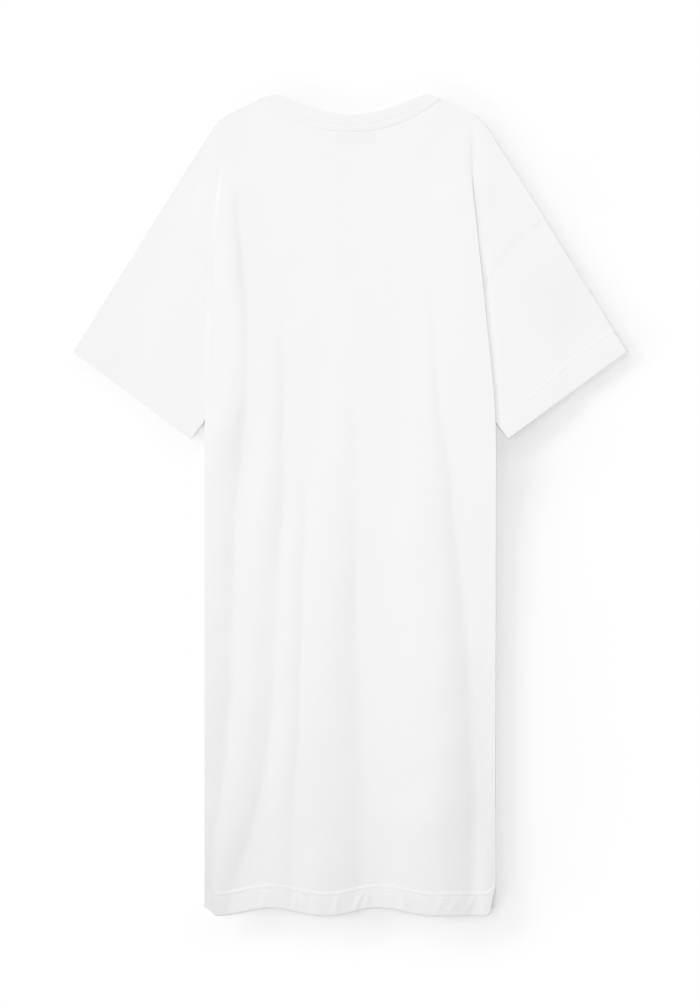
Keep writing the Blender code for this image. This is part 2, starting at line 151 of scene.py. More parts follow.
def outlineUp(out, inset=0.0):
    # shoulder line, arc, sleeve line; inset moves all three the same way towards the inside
    shoulderAngle, sleeveAngle = form["shoulderAngle"], form["sleeveAngle"]
    radius = form["cornerRadius"]
    reach = radius * math.tan((sleeveAngle - shoulderAngle) / 2)
    middleOut = form["cornerOut"] - reach * math.cos(shoulderAngle) - radius * math.sin(shoulderAngle)
    middleUp = cornerUp + reach * math.sin(shoulderAngle) - radius * math.cos(shoulderAngle)
    out = np.asarray(out, dtype=float)
    shoulderLine, sleeveLine = [cornerUp - (out - form["cornerOut"]) * math.tan(angle)
                                - inset / math.cos(angle) for angle in (shoulderAngle, sleeveAngle)]
    inner = radius - inset
    across = np.clip(out - middleOut, 0.0, 0.999 * inner)
    arc = middleUp + np.sqrt(inner ** 2 - across ** 2)
    start = middleOut + inner * math.sin(shoulderAngle)
    end = middleOut + inner * math.sin(sleeveAngle)
    return np.where(out < start, shoulderLine, np.where(out > end, sleeveLine, arc))


def downSleeve(along):
    # point on the sleeve's outer edge, a distance down from the corner
    angle = form["sleeveAngle"]
    return np.array((form["cornerOut"] + along * math.cos(angle), cornerUp - along * math.sin(angle)))


def insideOuter(out, up):
    # distance in from the shoulder line or the sleeve's outer edge, whichever is nearer
    far = []
    for angle in (form["shoulderAngle"], form["sleeveAngle"]):
        far.append((form["cornerOut"] - out) * math.sin(angle) + (cornerUp - up) * math.cos(angle))
    return np.minimum(far[0], far[1])


def underarm(side):
    # foot of the armhole seam, beside the inner edge of the tuck
    edge = float(bodyEdge(form["underarmUp"], side))
    return np.array((2 * (edge - foldReach) - form["halfChest"] + form["underarmOut"], form["underarmUp"]))


def armhole(t, side):
    # quadratic curve from the underarm (t = 0) to the sleeve's edge (t = 1)
    t = np.asarray(t, dtype=float)[..., None]
    return ((1 - t) ** 2 * underarm(side) + 2 * t * (1 - t) * np.array(form["armholeBend"])
            + t ** 2 * downSleeve(form["armholeAlong"]))


def backTop(out):
    # the rib's seam: a power curve across the neck; beyond it the shoulder seam
    dip = form["seamUp"] - form["neckUp"] + form["backDrop"] + form["ribWidth"]
    neck = form["seamUp"] - dip * (1 - np.clip(out / form["seamOut"], 0, 1) ** form["backSeamCurve"])
    return np.minimum(neck, outlineUp(out, form["seamInset"]))


def frontTop(out):
    # half an ellipse at the neck, then the shoulder
    dip = form["seamUp"] - form["neckUp"] + form["frontDrop"] + form["ribWidth"]
    neck = form["seamUp"] - dip * np.sqrt(1 - np.clip(out / form["seamOut"], 0, 1) ** 2)
    return np.minimum(np.where(out < form["seamOut"], neck, 2.0), outlineUp(out, form["foldInset"]))


def hemUp(x):
    # the hem's edge: cos^2 rises along a straight line
    up = np.zeros_like(x)
    for centre, halfWidth, rise in form["hemRises"]:
        up = up + rise * hump((x - centre) / halfWidth)
    return up


def foldAngle(up):
    # 0 at the shoulder, half a turn below
    share = (form["foldStarts"] - up) / (form["foldStarts"] - form["foldFlat"])
    return math.pi * ease(share) ** form["foldSlow"]


def tuckDepth(up, side):
    # cut width less the flat run, growing from the shoulder to the underarm
    underarmUp = form["underarmUp"]
    grown = np.clip((form["foldFlat"] - up) / (form["foldFlat"] - underarmUp), 0, 1)
    cut = np.interp(up, (0, underarmUp), (form["halfHem"], form["halfChest"]))
    full = cut - (bodyEdge(np.minimum(up, underarmUp), side) - foldReach)
    return form["foldLeast"] + (full - form["foldLeast"]) * grown


def turning(turn):
    # short steps whose direction turns: how far they go along the cloth, and how far across it
    return stepLength * np.cumsum(np.cos(turn), axis=-1), stepLength * np.cumsum(np.sin(turn), axis=-1)


def halfDrop(up):
    # height of one turn of the tuck: the sum of its steps' sines
    angle = foldAngle(up)
    steps = sum(np.sin(angle * place) for place in turnPlace)
    return stepLength * steps + form["foldLeast"] / 2 * np.sin(angle)


laid = {  # how the cloth eases from layer to layer, metres
    "slopeStarts": 0.014,  # lower cloth comes down from the tuck outside the body's edge
    "slopeLength": 0.030,
    "puffStarts": 0.020,  # upper sleeve cloth comes down more slowly
    "puffLength": 0.120,
    "puffEdge": 0.090,  # and is down before the sleeve's outer edge
    "troughDeep": 0.0012,  # the right sleeve dips beside the body's edge
    "troughWide": 0.0056,
    "liftMargin": 0.022,  # the body stays lifted this far below the sleeve
    "liftLength": 0.060,
    "tuckMargin": 0.004,
    "tuckFade": 0.085,  # the back sinks beside the tuck over this width
    "centreRise": 0.16,  # the centre of the back comes up this slowly below the shoulders
    "centreHigh": (0.75, 1.60),  # and by this many tucks, at the hem and at the chest
    "centreRange": (0.45, 1.00),
    "reliefStarts": 0.002,  # the sleeve's small relief begins this far outside the body's edge
    "reliefLength": 0.010,
    "reliefEdge": 0.012,  # and dies out over this width inside the dress's outline
}


def underTuck(out, up, side):
    # 1 under the tuck, eased to 0 outside the body's edge
    return 1 - ease((out - bodyEdge(up, side) - laid["slopeStarts"]) / laid["slopeLength"])


def trough(out, up, side):
    # a cos^2 dip along the body's right edge, growing with the tuck
    beyond = (out - bodyEdge(up, side)) / laid["troughWide"]
    return laid["troughDeep"] * hump(beyond - 1) * foldAngle(up) / math.pi * (side > 0)


def lowLayer(out, up, side):
    # middle of the front's cloth and the sleeve's lower cloth outside the tuck
    return rest + 2 * halfDrop(up) * underTuck(out, up, side) - trough(out, up, side)


def upperLayer(out, up, side):
    # middle of the sleeve's upper cloth: one pitch over the lower cloth, or more where it puffs
    beyond = out - bodyEdge(up, side) - laid["puffStarts"]
    puff = (1 - ease(beyond / laid["puffLength"])) * ease(insideOuter(out, up) / laid["puffEdge"])
    rise = 2 * halfDrop(up) * np.maximum(underTuck(out, up, side), puff)
    return rest + pitch + rise - trough(out, up, side)


def backHeight(out, up, side):
    # middle of the back's top cloth: over tucks and sleeves, a little lower at the centre
    start = underarm(side)
    along = np.array(form["cuffLow"]) - start
    along = along / np.hypot(*along)
    below = (out - start[0]) * along[1] - (up - start[1]) * along[0]
    onSleeve = 1 - ease((below - laid["liftMargin"]) / laid["liftLength"])
    inner = bodyEdge(up, side) - foldReach - tuckDepth(up, side) - laid["tuckMargin"]
    onTuck = ease((out - inner + laid["tuckFade"]) / laid["tuckFade"])
    tucks = np.interp(up, laid["centreRange"], laid["centreHigh"])
    centre = 2 * pitch * tucks * ease((form["foldStarts"] - up) / laid["centreRise"])
    return rest + pitch + 2 * halfDrop(up) * (1 + onSleeve) * onTuck + centre * (1 - onTuck)


# Soft falls down the back in mm, a row for each height above the hem: the height, x where the
# cloth falls steepest to the right, the width of the gentle left side, the width of the falling
# right side, and how high it stands.
ridges = (
    ((1060, -163.5, 18, 6, 0), (1024, -162.5, 24, 12, 1.4), (990, -161, 30, 17, 2.9),
     (952, -158.5, 29, 21, 4.1), (910, -153, 27, 22, 3.8), (881, -149, 25, 18, 2.9),
     (838, -149, 24, 17, 2.6), (795, -150, 24, 19, 2.6), (738, -150.5, 26, 26, 3.3),
     (666, -159, 28, 36, 4.2), (595, -165, 28, 36, 4.3), (523, -171, 28, 36, 3.9),
     (452, -171, 28, 44, 4), (380, -173, 28, 44, 4), (309, -177, 26, 42, 3.5), (237, -182, 26, 40, 3),
     (166, -190, 26, 36, 3), (80, -200, 26, 36, 3.1), (0, -205, 26, 36, 3.2)),
    ((900, -98.5, 14, 10, 0), (840, -98, 16, 12, 0.5), (767, -97.5, 18, 16, 1.5),
     (681, -97.5, 20, 19, 2.4), (566, -100, 24, 32, 2.6), (459, -106, 26, 34, 2.8),
     (323, -112, 28, 32, 2.3), (209, -124.5, 30, 32, 2.2), (109, -148, 30, 30, 2.1),
     (50, -169, 30, 28, 2), (0, -183, 30, 28, 2)),
    ((700, -66, 10, 10, 0), (638, -66, 12, 12, 0.6), (530, -67, 14, 16, 2), (452, -71, 16, 20, 2),
     (352, -73, 18, 22, 2), (245, -77, 20, 20, 1.5), (152, -83.8, 20, 20, 1), (50, -86, 22, 20, 1),
     (0, -86, 22, 20, 1)),
    ((830, 4, 14, 12, 0), (750, 4, 20, 18, 0.6), (660, 3, 28, 26, 1.7), (580, 3, 34, 38, 2.6),
     (450, 4, 40, 48, 3.1), (300, 6, 44, 52, 3.1), (150, 8, 48, 54, 3.1), (60, 8, 50, 54, 3.6),
     (0, 7, 50, 54, 3.8)),
    ((930, 113, 14, 8, 0), (890, 115, 18, 10, 0.6), (838, 118, 22, 12, 1.2), (795, 121, 26, 15, 1.8),
     (738, 125, 30, 18, 2.5), (666, 136, 36, 26, 3), (595, 143, 40, 38, 4), (523, 148, 45, 42, 4.3),
     (452, 156, 50, 44, 4.2), (380, 162, 55, 48, 4.8), (309, 165, 60, 50, 5.2), (237, 169, 65, 55, 5.8),
     (166, 170, 65, 58, 6), (80, 170, 65, 52, 5.2), (0, 168, 65, 48, 4.6)),
    ((140, 204, 10, 10, 0), (100, 205, 12, 12, 0.5), (60, 206.5, 12, 14, 1), (30, 206.5, 12, 14, 1.2),
     (0, 206.5, 12, 14, 1.2)),
)
# The right shoulder drops like that too, into the start of the tuck, and the sleeve below it.
shoulderDrop = ((1128, 174, 20, 6, 0), (1110, 174.5, 24, 10, 1.2), (1090, 174.5, 26, 11, 2),
                (1065, 175, 26, 10, 1.5), (1045, 175, 22, 8, 0.8), (1028, 175, 16, 6, 0))
ridgeForm = {
    "turns": 0.88,  # share of the falling side where it is steepest
    "wander": 0.0014,  # metres by which a ridge strays from its line
    "wanderWaves": ((41, 1.7, 1.0), (87, 2.9, 0.6)),  # radians a metre, phase step, share
    "uneven": 0.16,  # and the share by which its height does
    "unevenWaves": ((29, 4.1, 1.0), (63, 1.3, 0.7)),
}


def fallHeight(ridge, x, up, stray=0.0):
    # a ridge rises as a bell and falls as 1 - (d/w)^2, so that the fall gets steeper and
    # steeper, and then turns level as a small parabola
    rows = np.array(ridge)[::-1].T / 1000
    steepest, left, right, high = [readTable(up, rows[0], values) for values in rows[1:]]
    turns = ridgeForm["turns"]
    run = (1 - turns ** 2) / turns
    beyond = x - steepest - stray + turns * right
    part = np.maximum(beyond / right, 0.0)
    level = (1 - turns ** 2) * np.clip(1 - (part - turns) / run, 0, 1) ** 2
    falling = np.where(part < turns, 1 - part ** 2, level)
    return high * np.where(beyond < 0, bell(beyond / left), falling)


def drift(up, place, waves):
    # the mean of two sines, with another phase for each ridge
    total = sum(share * np.sin(up * turns + phase * place) for turns, phase, share in waves)
    return total / sum(wave[2] for wave in waves)


def ridgeHeight(x, up):
    # the sum of the falls, each of which wanders and swells
    height = fallHeight(shoulderDrop, x, up)
    for place, ridge in enumerate(ridges):
        stray = ridgeForm["wander"] * drift(up, place, ridgeForm["wanderWaves"])
        swell = 1 + ridgeForm["uneven"] * drift(up, place, ridgeForm["unevenWaves"])
        height = height + swell * fallHeight(ridge, x, up, stray)
    return height


# Small creases: centre x and up, half length, half width, angle in degrees, height.
creases = (
    (-0.2190, 0.7480, 0.010, 0.0050, 75, -0.0004),
    (-0.2280, 0.7230, 0.012, 0.0022, 5, -0.0003),
    (-0.2540, 0.7460, 0.009, 0.0030, 20, -0.0003),
    (-0.2190, 0.7080, 0.008, 0.0025, 25, -0.0003),
    (0.0120, 0.0200, 0.018, 0.0036, 66, 0.0011),
    (0.0230, 0.0210, 0.015, 0.0030, 68, 0.0007),
    (-0.0190, 0.0180, 0.014, 0.0034, 72, 0.0007),
    (-0.0600, 0.0170, 0.013, 0.0034, 84, -0.0005),
    (-0.0790, 0.0180, 0.014, 0.0034, 86, 0.0006),
    (0.0770, 0.0190, 0.015, 0.0038, 100, 0.0007),
    (0.1290, 0.0160, 0.013, 0.0030, 64, 0.0006),
    (0.1480, 0.0150, 0.014, 0.0030, 52, 0.0006),
    (0.1720, 0.0170, 0.015, 0.0030, 60, 0.0007),
    (-0.1990, 0.0200, 0.015, 0.0044, 85, 0.0006),
    (-0.1230, 0.0220, 0.015, 0.0044, 80, 0.0006),
)


def creaseHeight(x, up):
    # each crease is a long bell: exp(-(along/length)^2 - (across/width)^2)
    height = np.zeros_like(x)
    for centreX, centreUp, length, width, angle, high in creases:
        turn = math.radians(angle)
        along = (x - centreX) * math.cos(turn) + (up - centreUp) * math.sin(turn)
        across = (up - centreUp) * math.cos(turn) - (x - centreX) * math.sin(turn)
        height = height + high * np.exp(-(along / length) ** 2 - (across / width) ** 2)
    return height


unevenness = {
    "seed": 7,
    "waves": 14,
    "high": 0.00010,
    "longest": 0.20,
    "shortest": 0.05,
    "slant": 0.45,  # radians, the most that a wave turns
    "first": 1.2,  # share of the height that the longest wave has, and the shortest 1 less
    "onSleeve": 1.4,
    "sleeveShift": 3.0,  # metres, so that the sleeves have other waves than the back
}


def uneven(x, up):
    # sum of sines with seeded directions, mostly across the dress, so that no stretch is flat
    draw = np.random.default_rng(unevenness["seed"])
    height = np.zeros_like(x)
    for wave in range(unevenness["waves"]):
        lengthShare = wave / (unevenness["waves"] - 1)
        length = unevenness["longest"] * (unevenness["shortest"] / unevenness["longest"]) ** lengthShare
        angle = draw.uniform(-unevenness["slant"], unevenness["slant"])
        phase = draw.uniform(0, 2 * math.pi)
        place = (x * math.cos(angle) + up * math.sin(angle)) / length
        strength = unevenness["high"] * (unevenness["first"] - lengthShare)
        height = height + strength * np.sin(2 * math.pi * place + phase)
    return height


label = {
    "x": (-0.0180, 0.0340),
    "up": (1.1067, 1.1227),
    "thick": 0.0006,
    "columns": 53,
    "rows": 17,
    "rib": 1.2,  # mm from rib to rib of the satin
    "ribDepth": 0.00005,
    "rimWidth": 0.001,  # its wall thins to half over this width
    "middle": 0.00073,  # height of its middle above the table
    "bow": 0.00006,
    "imprint": 0.00035,  # it lifts the cloth by this much
    "soft": 0.0024,
    "grey": 0.24,  # it shows through, as a share of the full grey
    # painted shade along the label's ends and foot
    "paintedEdgeShade": 0.17,
    "footShare": 0.7,  # of the edge's grey
    "edgeWidth": 0.0022,
}


def between(value, limits, soft, outside):
    # 1 between two limits and eased to 0 over the soft width, a share of which is outside them
    return ease((value - limits[0]) / soft + outside) * ease((limits[1] - value) / soft + outside)


def onLabel(x, up):
    # 1 over the label, eased to 0 over its edges
    return between(x, label["x"], label["soft"], 0.5) * between(up, label["up"], label["soft"], 0.5)


def labelShowThroughAndEdgeShade(x, up):
    # even grey over the label where it shows through, and painted shade along its two ends and its foot as
    # bells
    wide = label["edgeWidth"]
    ends = sum(bell((x - end) / wide) for end in label["x"]) * between(up, label["up"], wide, 1)
    foot = bell((up - label["up"][0]) / wide) * between(x, label["x"], wide, 1)
    return label["grey"] * onLabel(x, up) + label["paintedEdgeShade"] * (ends + label["footShare"] * foot)


def seamDip(distance):
    # a seam pulls the cloth in as a bell
    return form["seamDip"] * bell(distance / form["seamWidth"])


def backRelief(x, up):
    # everything that stands above or below the back's even layer, added up
    return ridgeHeight(x, up) + creaseHeight(x, up) + uneven(x, up) + label["imprint"] * onLabel(x, up)


def sleeveRelief(x, up, side):
    # small creases and unevenness, dying out at the sleeve's edges and under the body
    out = side * x
    beyond = out - bodyEdge(up, side) - laid["reliefStarts"]
    shown = ease(insideOuter(out, up) / laid["reliefEdge"]) * ease(beyond / laid["reliefLength"])
    small = creaseHeight(x, up) + unevenness["onSleeve"] * uneven(x + unevenness["sleeveShift"], up)
    return small * shown + fallHeight(shoulderDrop, x, up)


def ringUv(grid, down):
    # u runs round a closed ring from its first column, and v is the distance down
    around = lengthAlong(np.concatenate((grid, grid[:, :1]), axis=1))
    return np.stack((around, np.broadcast_to(down, around.shape)), axis=-1)


def clothShell(name, points, thickness, uv, material, keep=None, closed=False, grey=None):
    # a wall half the thickness to each side of the grid along its normals, with rims all round;
    # grey says how far its colour darkens towards grey, from 0 to 1: painted shade, partly where a second
    # layer shows through
    rows, columns = points.shape[:2]
    width = columns + 1 if closed else columns
    row, column = np.meshgrid(np.arange(rows - 1), np.arange(width - 1), indexing="ij")
    corner = np.stack((row * width + column, row * width + column + 1,
                       (row + 1) * width + column + 1, (row + 1) * width + column), axis=-1)
    corner = corner.reshape(-1, 4)
    vertex = (corner // width) * columns + (corner % width) % columns
    if keep is not None:
        whole = keep.ravel()[vertex].all(axis=1)
        corner = corner[whole]
        vertex = vertex[whole]
    place = points.reshape(-1, 3)
    used, vertex = np.unique(vertex, return_inverse=True)
    vertex = vertex.reshape(-1, 4)
    place = place[used]
    thick = np.broadcast_to(thickness, (rows, columns)).ravel()[used]
    flat = np.cross(place[vertex[:, 2]] - place[vertex[:, 0]], place[vertex[:, 3]] - place[vertex[:, 1]])
    normal = np.zeros_like(place)
    for k in range(4):
        np.add.at(normal, vertex[:, k], flat)
    normal = normal / np.maximum(np.linalg.norm(normal, axis=1, keepdims=True), 1e-12)
    outer = place + normal * thick[:, None] / 2
    inner = place - normal * thick[:, None] / 2

    count = len(place)
    start = vertex.ravel()
    end = np.roll(vertex, -1, axis=1).ravel()
    forward = start * count + end
    backward = end * count + start
    edge = ~np.isin(forward, backward)
    startUv = corner.ravel()[edge]
    endUv = np.roll(corner, -1, axis=1).ravel()[edge]
    start = start[edge]
    end = end[edge]
    rim = np.column_stack((end, start, start + count, end + count))
    faces = np.concatenate((vertex, vertex[:, ::-1] + count, rim))
    faceUv = np.concatenate((corner, corner[:, ::-1], np.column_stack((endUv, startUv, startUv, endUv))))

    mesh = bpy.data.meshes.new(name)
    mesh.from_pydata(np.concatenate((outer, inner)).tolist(), [], faces.tolist())
    layer = mesh.uv_layers.new(name="cloth")
    layer.data.foreach_set("uv", uv.reshape(-1, 2)[faceUv.ravel()].astype(np.float32).ravel())
    if grey is not None:
        greyHere = np.broadcast_to(grey, (rows, columns)).ravel()[used]
        attribute = mesh.attributes.new("below", "FLOAT", "POINT")
        attribute.data.foreach_set("value", np.concatenate((greyHere, greyHere)).astype(np.float32))
    return finishMesh(name, mesh, material)


def finishMesh(name, mesh, material):
    # smooth but for edges sharper than 50 degrees
    mesh.validate()
    mesh.shade_smooth()
    mesh.set_sharp_from_angle(angle=math.radians(50))
    mesh.materials.append(material)
    piece = bpy.data.objects.new(name, mesh)
    bpy.context.scene.collection.objects.link(piece)
    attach(piece, "root")
    return piece

def takesOver(piece, node):
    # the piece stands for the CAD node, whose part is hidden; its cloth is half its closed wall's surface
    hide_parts(node)
    area = np.empty(len(piece.data.polygons))
    piece.data.polygons.foreach_get("area", area)
    print(node, "made:", len(area), "faces,", round(float(area.sum()) / 2, 4), "m2")


def lengthAlong(points):
    # running length of a line of points, along the last axis but one
    steps = np.linalg.norm(np.diff(points, axis=-2), axis=-1)
    zero = np.zeros(steps.shape[:-1] + (1,))
    return np.concatenate((zero, np.cumsum(steps, axis=-1)), axis=-1)


def colour(hexCode):
    # sRGB hex to linear
    parts = [int(hexCode[k:k + 2], 16) / 255 for k in (1, 3, 5)]
    return tuple(p / 12.92 if p <= 0.04045 else ((p + 0.055) / 1.055) ** 2.4 for p in parts) + (1.0,)


def addNode(tree, kind, inputs=None, **settings):
    # inputs: socket name or number -> value, or another node's output to link
    made = tree.nodes.new(kind)
    for key, value in settings.items():
        setattr(made, key, value)
    for key, value in (inputs or {}).items():
        if isinstance(value, bpy.types.NodeSocket):
            tree.links.new(value, made.inputs[key])
        else:
            made.inputs[key].default_value = value
    return made


def surface(name, roughness, sheen, baseColour=None):
    # a principled material with its constants set on the shader itself
    material = bpy.data.materials.new(name)
    material.use_nodes = True
    constants = {"Roughness": roughness, "Sheen Weight": sheen, "Sheen Roughness": 0.5, "IOR": 1.5,
                 "Specular IOR Level": 0.3}
    if baseColour is not None:
        constants["Base Color"] = colour(baseColour)
    for key, value in constants.items():
        material.node_tree.nodes["Principled BSDF"].inputs[key].default_value = value
    return material


knit = {
    "wale": 2.2,  # mm; the real columns are 0.7 mm apart, too fine to show
    "course": 1.8,  # mm; the real rows are 0.5 mm
    "light": "#F0F0F0",
    "dark": "#EEEEEF",
    "grey": "#DCDCDE",  # in full: painted shade at grooves, seams and outlines, and a second layer showing through
    "cloud": 24.0,  # mm, the size of the faint uneven patches
    "fuzz": 1.3,  # mm, the nap
    "depth": 0.00006,  # metres
}


def greyedAndShaded(tree, shade):
    # colour = shade * (1 - below) + grey * below; inputs 6, 7 and output 2 are the colour ones
    # the attribute below carries painted shade, and where a second layer shows through
    below = addNode(tree, "ShaderNodeAttribute", attribute_type="GEOMETRY", attribute_name="below")
    mixed = addNode(tree, "ShaderNodeMix", {0: below.outputs["Fac"], 6: shade, 7: colour(knit["grey"])},
                    data_type="RGBA")
    tree.links.new(mixed.outputs[2], tree.nodes["Principled BSDF"].inputs["Base Color"])


def rowsOf(tree, value, spacing):
    # |sin(pi value / spacing)|: one rounded row of stitches or one rib to each spacing in mm
    angle = addNode(tree, "ShaderNodeMath", {0: value, 1: math.pi * 1000 / spacing}, operation="MULTIPLY")
    sine = addNode(tree, "ShaderNodeMath", {0: angle.outputs[0]}, operation="SINE")
    return addNode(tree, "ShaderNodeMath", {0: sine.outputs[0]}, operation="ABSOLUTE").outputs[0]


def ribbed(tree, place, spacing, depth):
    # relief = depth |sin(pi x / spacing)|
    split = addNode(tree, "ShaderNodeSeparateXYZ", {0: place})
    height = rowsOf(tree, split.outputs["X"], spacing)
    relief = addNode(tree, "ShaderNodeBump", {"Height": height, "Strength": 1.0, "Distance": depth})
    tree.links.new(relief.outputs["Normal"], tree.nodes["Principled BSDF"].inputs["Normal"])


def cottonJersey(name):
    # Combed cotton single jersey, bleached and steamed: matt, very even, a soft nap that
    # catches light at the edges, and faint columns of stitches down the cloth.
    # height = |sin(pi u / wale)| * (0.7 + 0.3 |sin(pi v / course)|) + fine noise
    material = surface(name, 0.90, 0.05)
    tree = material.node_tree
    uv = addNode(tree, "ShaderNodeUVMap", uv_map="cloth").outputs["UV"]
    split = addNode(tree, "ShaderNodeSeparateXYZ", {0: uv})
    wales = rowsOf(tree, split.outputs["X"], knit["wale"])
    courses = rowsOf(tree, split.outputs["Y"], knit["course"])
    loops = addNode(tree, "ShaderNodeMath", {0: courses, 1: 0.3, 2: 0.7}, operation="MULTIPLY_ADD")
    stitches = addNode(tree, "ShaderNodeMath", {0: wales, 1: loops.outputs[0]}, operation="MULTIPLY")
    place = addNode(tree, "ShaderNodeTexCoord").outputs["Object"]
    fuzz, cloud = [addNode(tree, "ShaderNodeTexNoise", {"Vector": place, "Scale": 1000 / size,
                                                        "Detail": detail})
                   for size, detail in ((knit["fuzz"], 2.0), (knit["cloud"], 3.0))]
    height = addNode(tree, "ShaderNodeMath", {0: fuzz.outputs["Fac"], 1: 0.8, 2: stitches.outputs[0]},
                     operation="MULTIPLY_ADD")
    relief = addNode(tree, "ShaderNodeBump", {"Height": height.outputs[0], "Strength": 1.0,
                                              "Distance": knit["depth"]})
    tree.links.new(relief.outputs["Normal"], tree.nodes["Principled BSDF"].inputs["Normal"])
    tone = addNode(tree, "ShaderNodeMix", {0: cloud.outputs["Fac"], 6: colour(knit["dark"]),
                                           7: colour(knit["light"])}, data_type="RGBA")
    greyedAndShaded(tree, tone.outputs[2])
    return material


jersey = cottonJersey("cotton_jersey_bleached")
# Spun polyester sewing thread, white: a little smoother and brighter than the knit.
thread = surface("polyester_thread_white", 0.55, 0.05, "#FAFAFA")
print("materials made")

stitching = {  # twin rows at the hem and the cuffs, metres
    "lines": {"body": (0.0275, 0.0330), "sleeve": (0.0325, 0.0380)},  # above the hem's edge
    "middle": {"body": 0.030, "sleeve": 0.035},
    "seed": {"body": 1, "sleeve": 6},
    "pull": 0.00028,  # the stitches pull the cloth in by this much
    "pullWidth": 0.0009,
    "grey": 0.10,  # and greys it between them: painted shade of the pulled-in cloth, partly its raw edge showing through
    "greyWidth": 0.006,
    "long": 0.0026,  # one stitch, and the step from one to the next
    "step": 0.0030,
    "radius": 0.00034,
    "sides": 8,
    "bow": 0.35,  # share of the radius by which its ends go down
    "sink": 0.45,  # share of the radius above the cloth
    "pucker": 0.00014,
    "puckerLength": 0.0092,
    "puckerWidth": 0.0075,
    "hemEnds": 0.0014,  # the doubled cloth of a hem ends over this length
    "hemRound": 0.0012,  # and its fold is rounded over this one
    "hemThin": 0.45,  # from this share of the wall
}
seaming = {  # armhole and shoulder seams
    "seed": 3,
    "pucker": 0.00024,
    "puckerLength": 0.0105,
    "wide": 0.0040,
    "dip": 0.22,
    "grey": (0.06, 0.40),  # the seam allowance shows through, with painted shade of its puckers, left and right; more on the right, away from the light
    "greyWide": 0.0048,
    "greyLength": 0.02205,  # from one patch of it to the next
}


def pucker(along, seed, sizes):
    # small waves along a seam: a sine whose length and height drift
    draw = np.random.default_rng(seed)
    shift = sum(draw.uniform(0.5, 1.5) * np.sin(along * draw.uniform(30, 90) + draw.uniform(0, 6))
                for _ in range(3))
    strength = 0.6 + 0.4 * np.sin(along * draw.uniform(25, 45) + draw.uniform(0, 6))
    return sizes["pucker"] * strength * np.sin(2 * math.pi * along / sizes["puckerLength"] + shift)


def seamShowThroughAndShade(along, far, side):
    # patches along the seam, fading away from it: (0.6 + 0.4 sin) times a bell; painted shade of the
    # puckers, partly the allowance showing through
    patches = 0.6 + 0.4 * np.sin(2 * math.pi * along / seaming["greyLength"] + 2.4 * np.sin(along * 47))
    return seaming["grey"][1 if side > 0 else 0] * patches * bell(far / seaming["greyWide"])


def hemWalls(above, hem, hemWall):
    # thickness at a height above the hem's edge: doubled below the hem's raw edge, rounded at its fold
    doubled = 1 - ease((above - hem) / stitching["hemEnds"])
    thin = stitching["hemThin"]
    return (wall + (hemWall - wall) * doubled) * (thin + (1 - thin) * ease(above / stitching["hemRound"]))


def stitchRelief(above, around, where, seed, strength=1.0):
    # a bell of pull under each row of stitches, and the pucker round both
    above = above[:, None]
    pull = sum(bell((above - line) / stitching["pullWidth"]) for line in stitching["lines"][where])
    near = bell((above - stitching["middle"][where]) / stitching["puckerWidth"])
    return strength * pucker(around, seed, stitching) * near - stitching["pull"] * pull


def stitchShowThroughAndShade(above, where):
    # cos^2 between the rows: painted shade, partly the hem's raw edge showing through
    return stitching["grey"] * hump((above - stitching["middle"][where]) / stitching["greyWidth"])[:, None]


def stitchRow(name, path):
    # a row of short threads with round ends, each lying along the path; the capsule is
    # x = along, and a circle of radius r sqrt(1 - e^2) where e runs 0 to 1 in its end caps
    length = lengthAlong(path)
    step, sides, radius = stitching["step"], stitching["sides"], stitching["radius"]
    half = stitching["long"] / 2
    count = int((length[-1] - 2 * half) / step)
    middle = (np.arange(count) + 0.5) * step + (length[-1] - count * step) / 2
    centre, ahead = [np.stack([np.interp(middle + further, length, path[:, k]) for k in range(3)], axis=-1)
                     for further in (0.0, 0.001)]
    ahead = unit(ahead - centre)
    beside = unit(np.cross((0.0, 0.0, 1.0), ahead))
    above = np.cross(ahead, beside)
    end = np.array((1.0, 0.8, 0.4, 0.0))
    x = np.concatenate((-half + radius * (1 - end), half - radius * (1 - end[::-1])))
    ring = radius * np.sqrt(1 - np.concatenate((end, end[::-1])) ** 2)
    ring = np.maximum(ring, 0.02 * radius)[:, None]
    bow = -stitching["bow"] * radius * (x / half) ** 2
    turn = np.arange(sides) / sides * 2 * math.pi
    local = np.stack((np.repeat(x[:, None], sides, axis=1), ring * np.cos(turn),
                      ring * np.sin(turn) + bow[:, None]), axis=-1).reshape(-1, 3)
    place = (centre[:, None] + ahead[:, None] * local[None, :, :1] + beside[:, None] * local[None, :, 1:2]
             + above[:, None] * local[None, :, 2:])
    i, j = np.meshgrid(np.arange(len(x) - 1), np.arange(sides), indexing="ij")
    after = (j + 1) % sides
    quad = np.stack((i * sides + j, i * sides + after, (i + 1) * sides + after, (i + 1) * sides + j),
                    axis=-1).reshape(-1, 4)[:, ::-1]
    start = (np.arange(count) * len(local))[:, None, None]
    faces = (quad[None] + start).reshape(-1, 4).tolist()
    first = (np.arange(sides)[None] + start[:, 0]).tolist()
    last = (np.arange(sides)[None, ::-1] + (len(x) - 1) * sides + start[:, 0]).tolist()
    mesh = bpy.data.meshes.new(name)
    mesh.from_pydata(place.reshape(-1, 3).tolist(), [], faces + first + last)
    return finishMesh(name, mesh, thread)


def hemStitches(name, where, grid, thick, above, columns):
    # a row of stitches on each line of a hem, on top of its cloth
    made = []
    for k, line in enumerate(stitching["lines"][where]):
        row = int(np.argmin(np.abs(above - line)))
        path = grid[row, columns].copy()
        path[:, 2] += thick[row] / 2 + stitching["radius"] * stitching["sink"]
        made.append(stitchRow(f"{name}_{k + 1}", path))
    return made


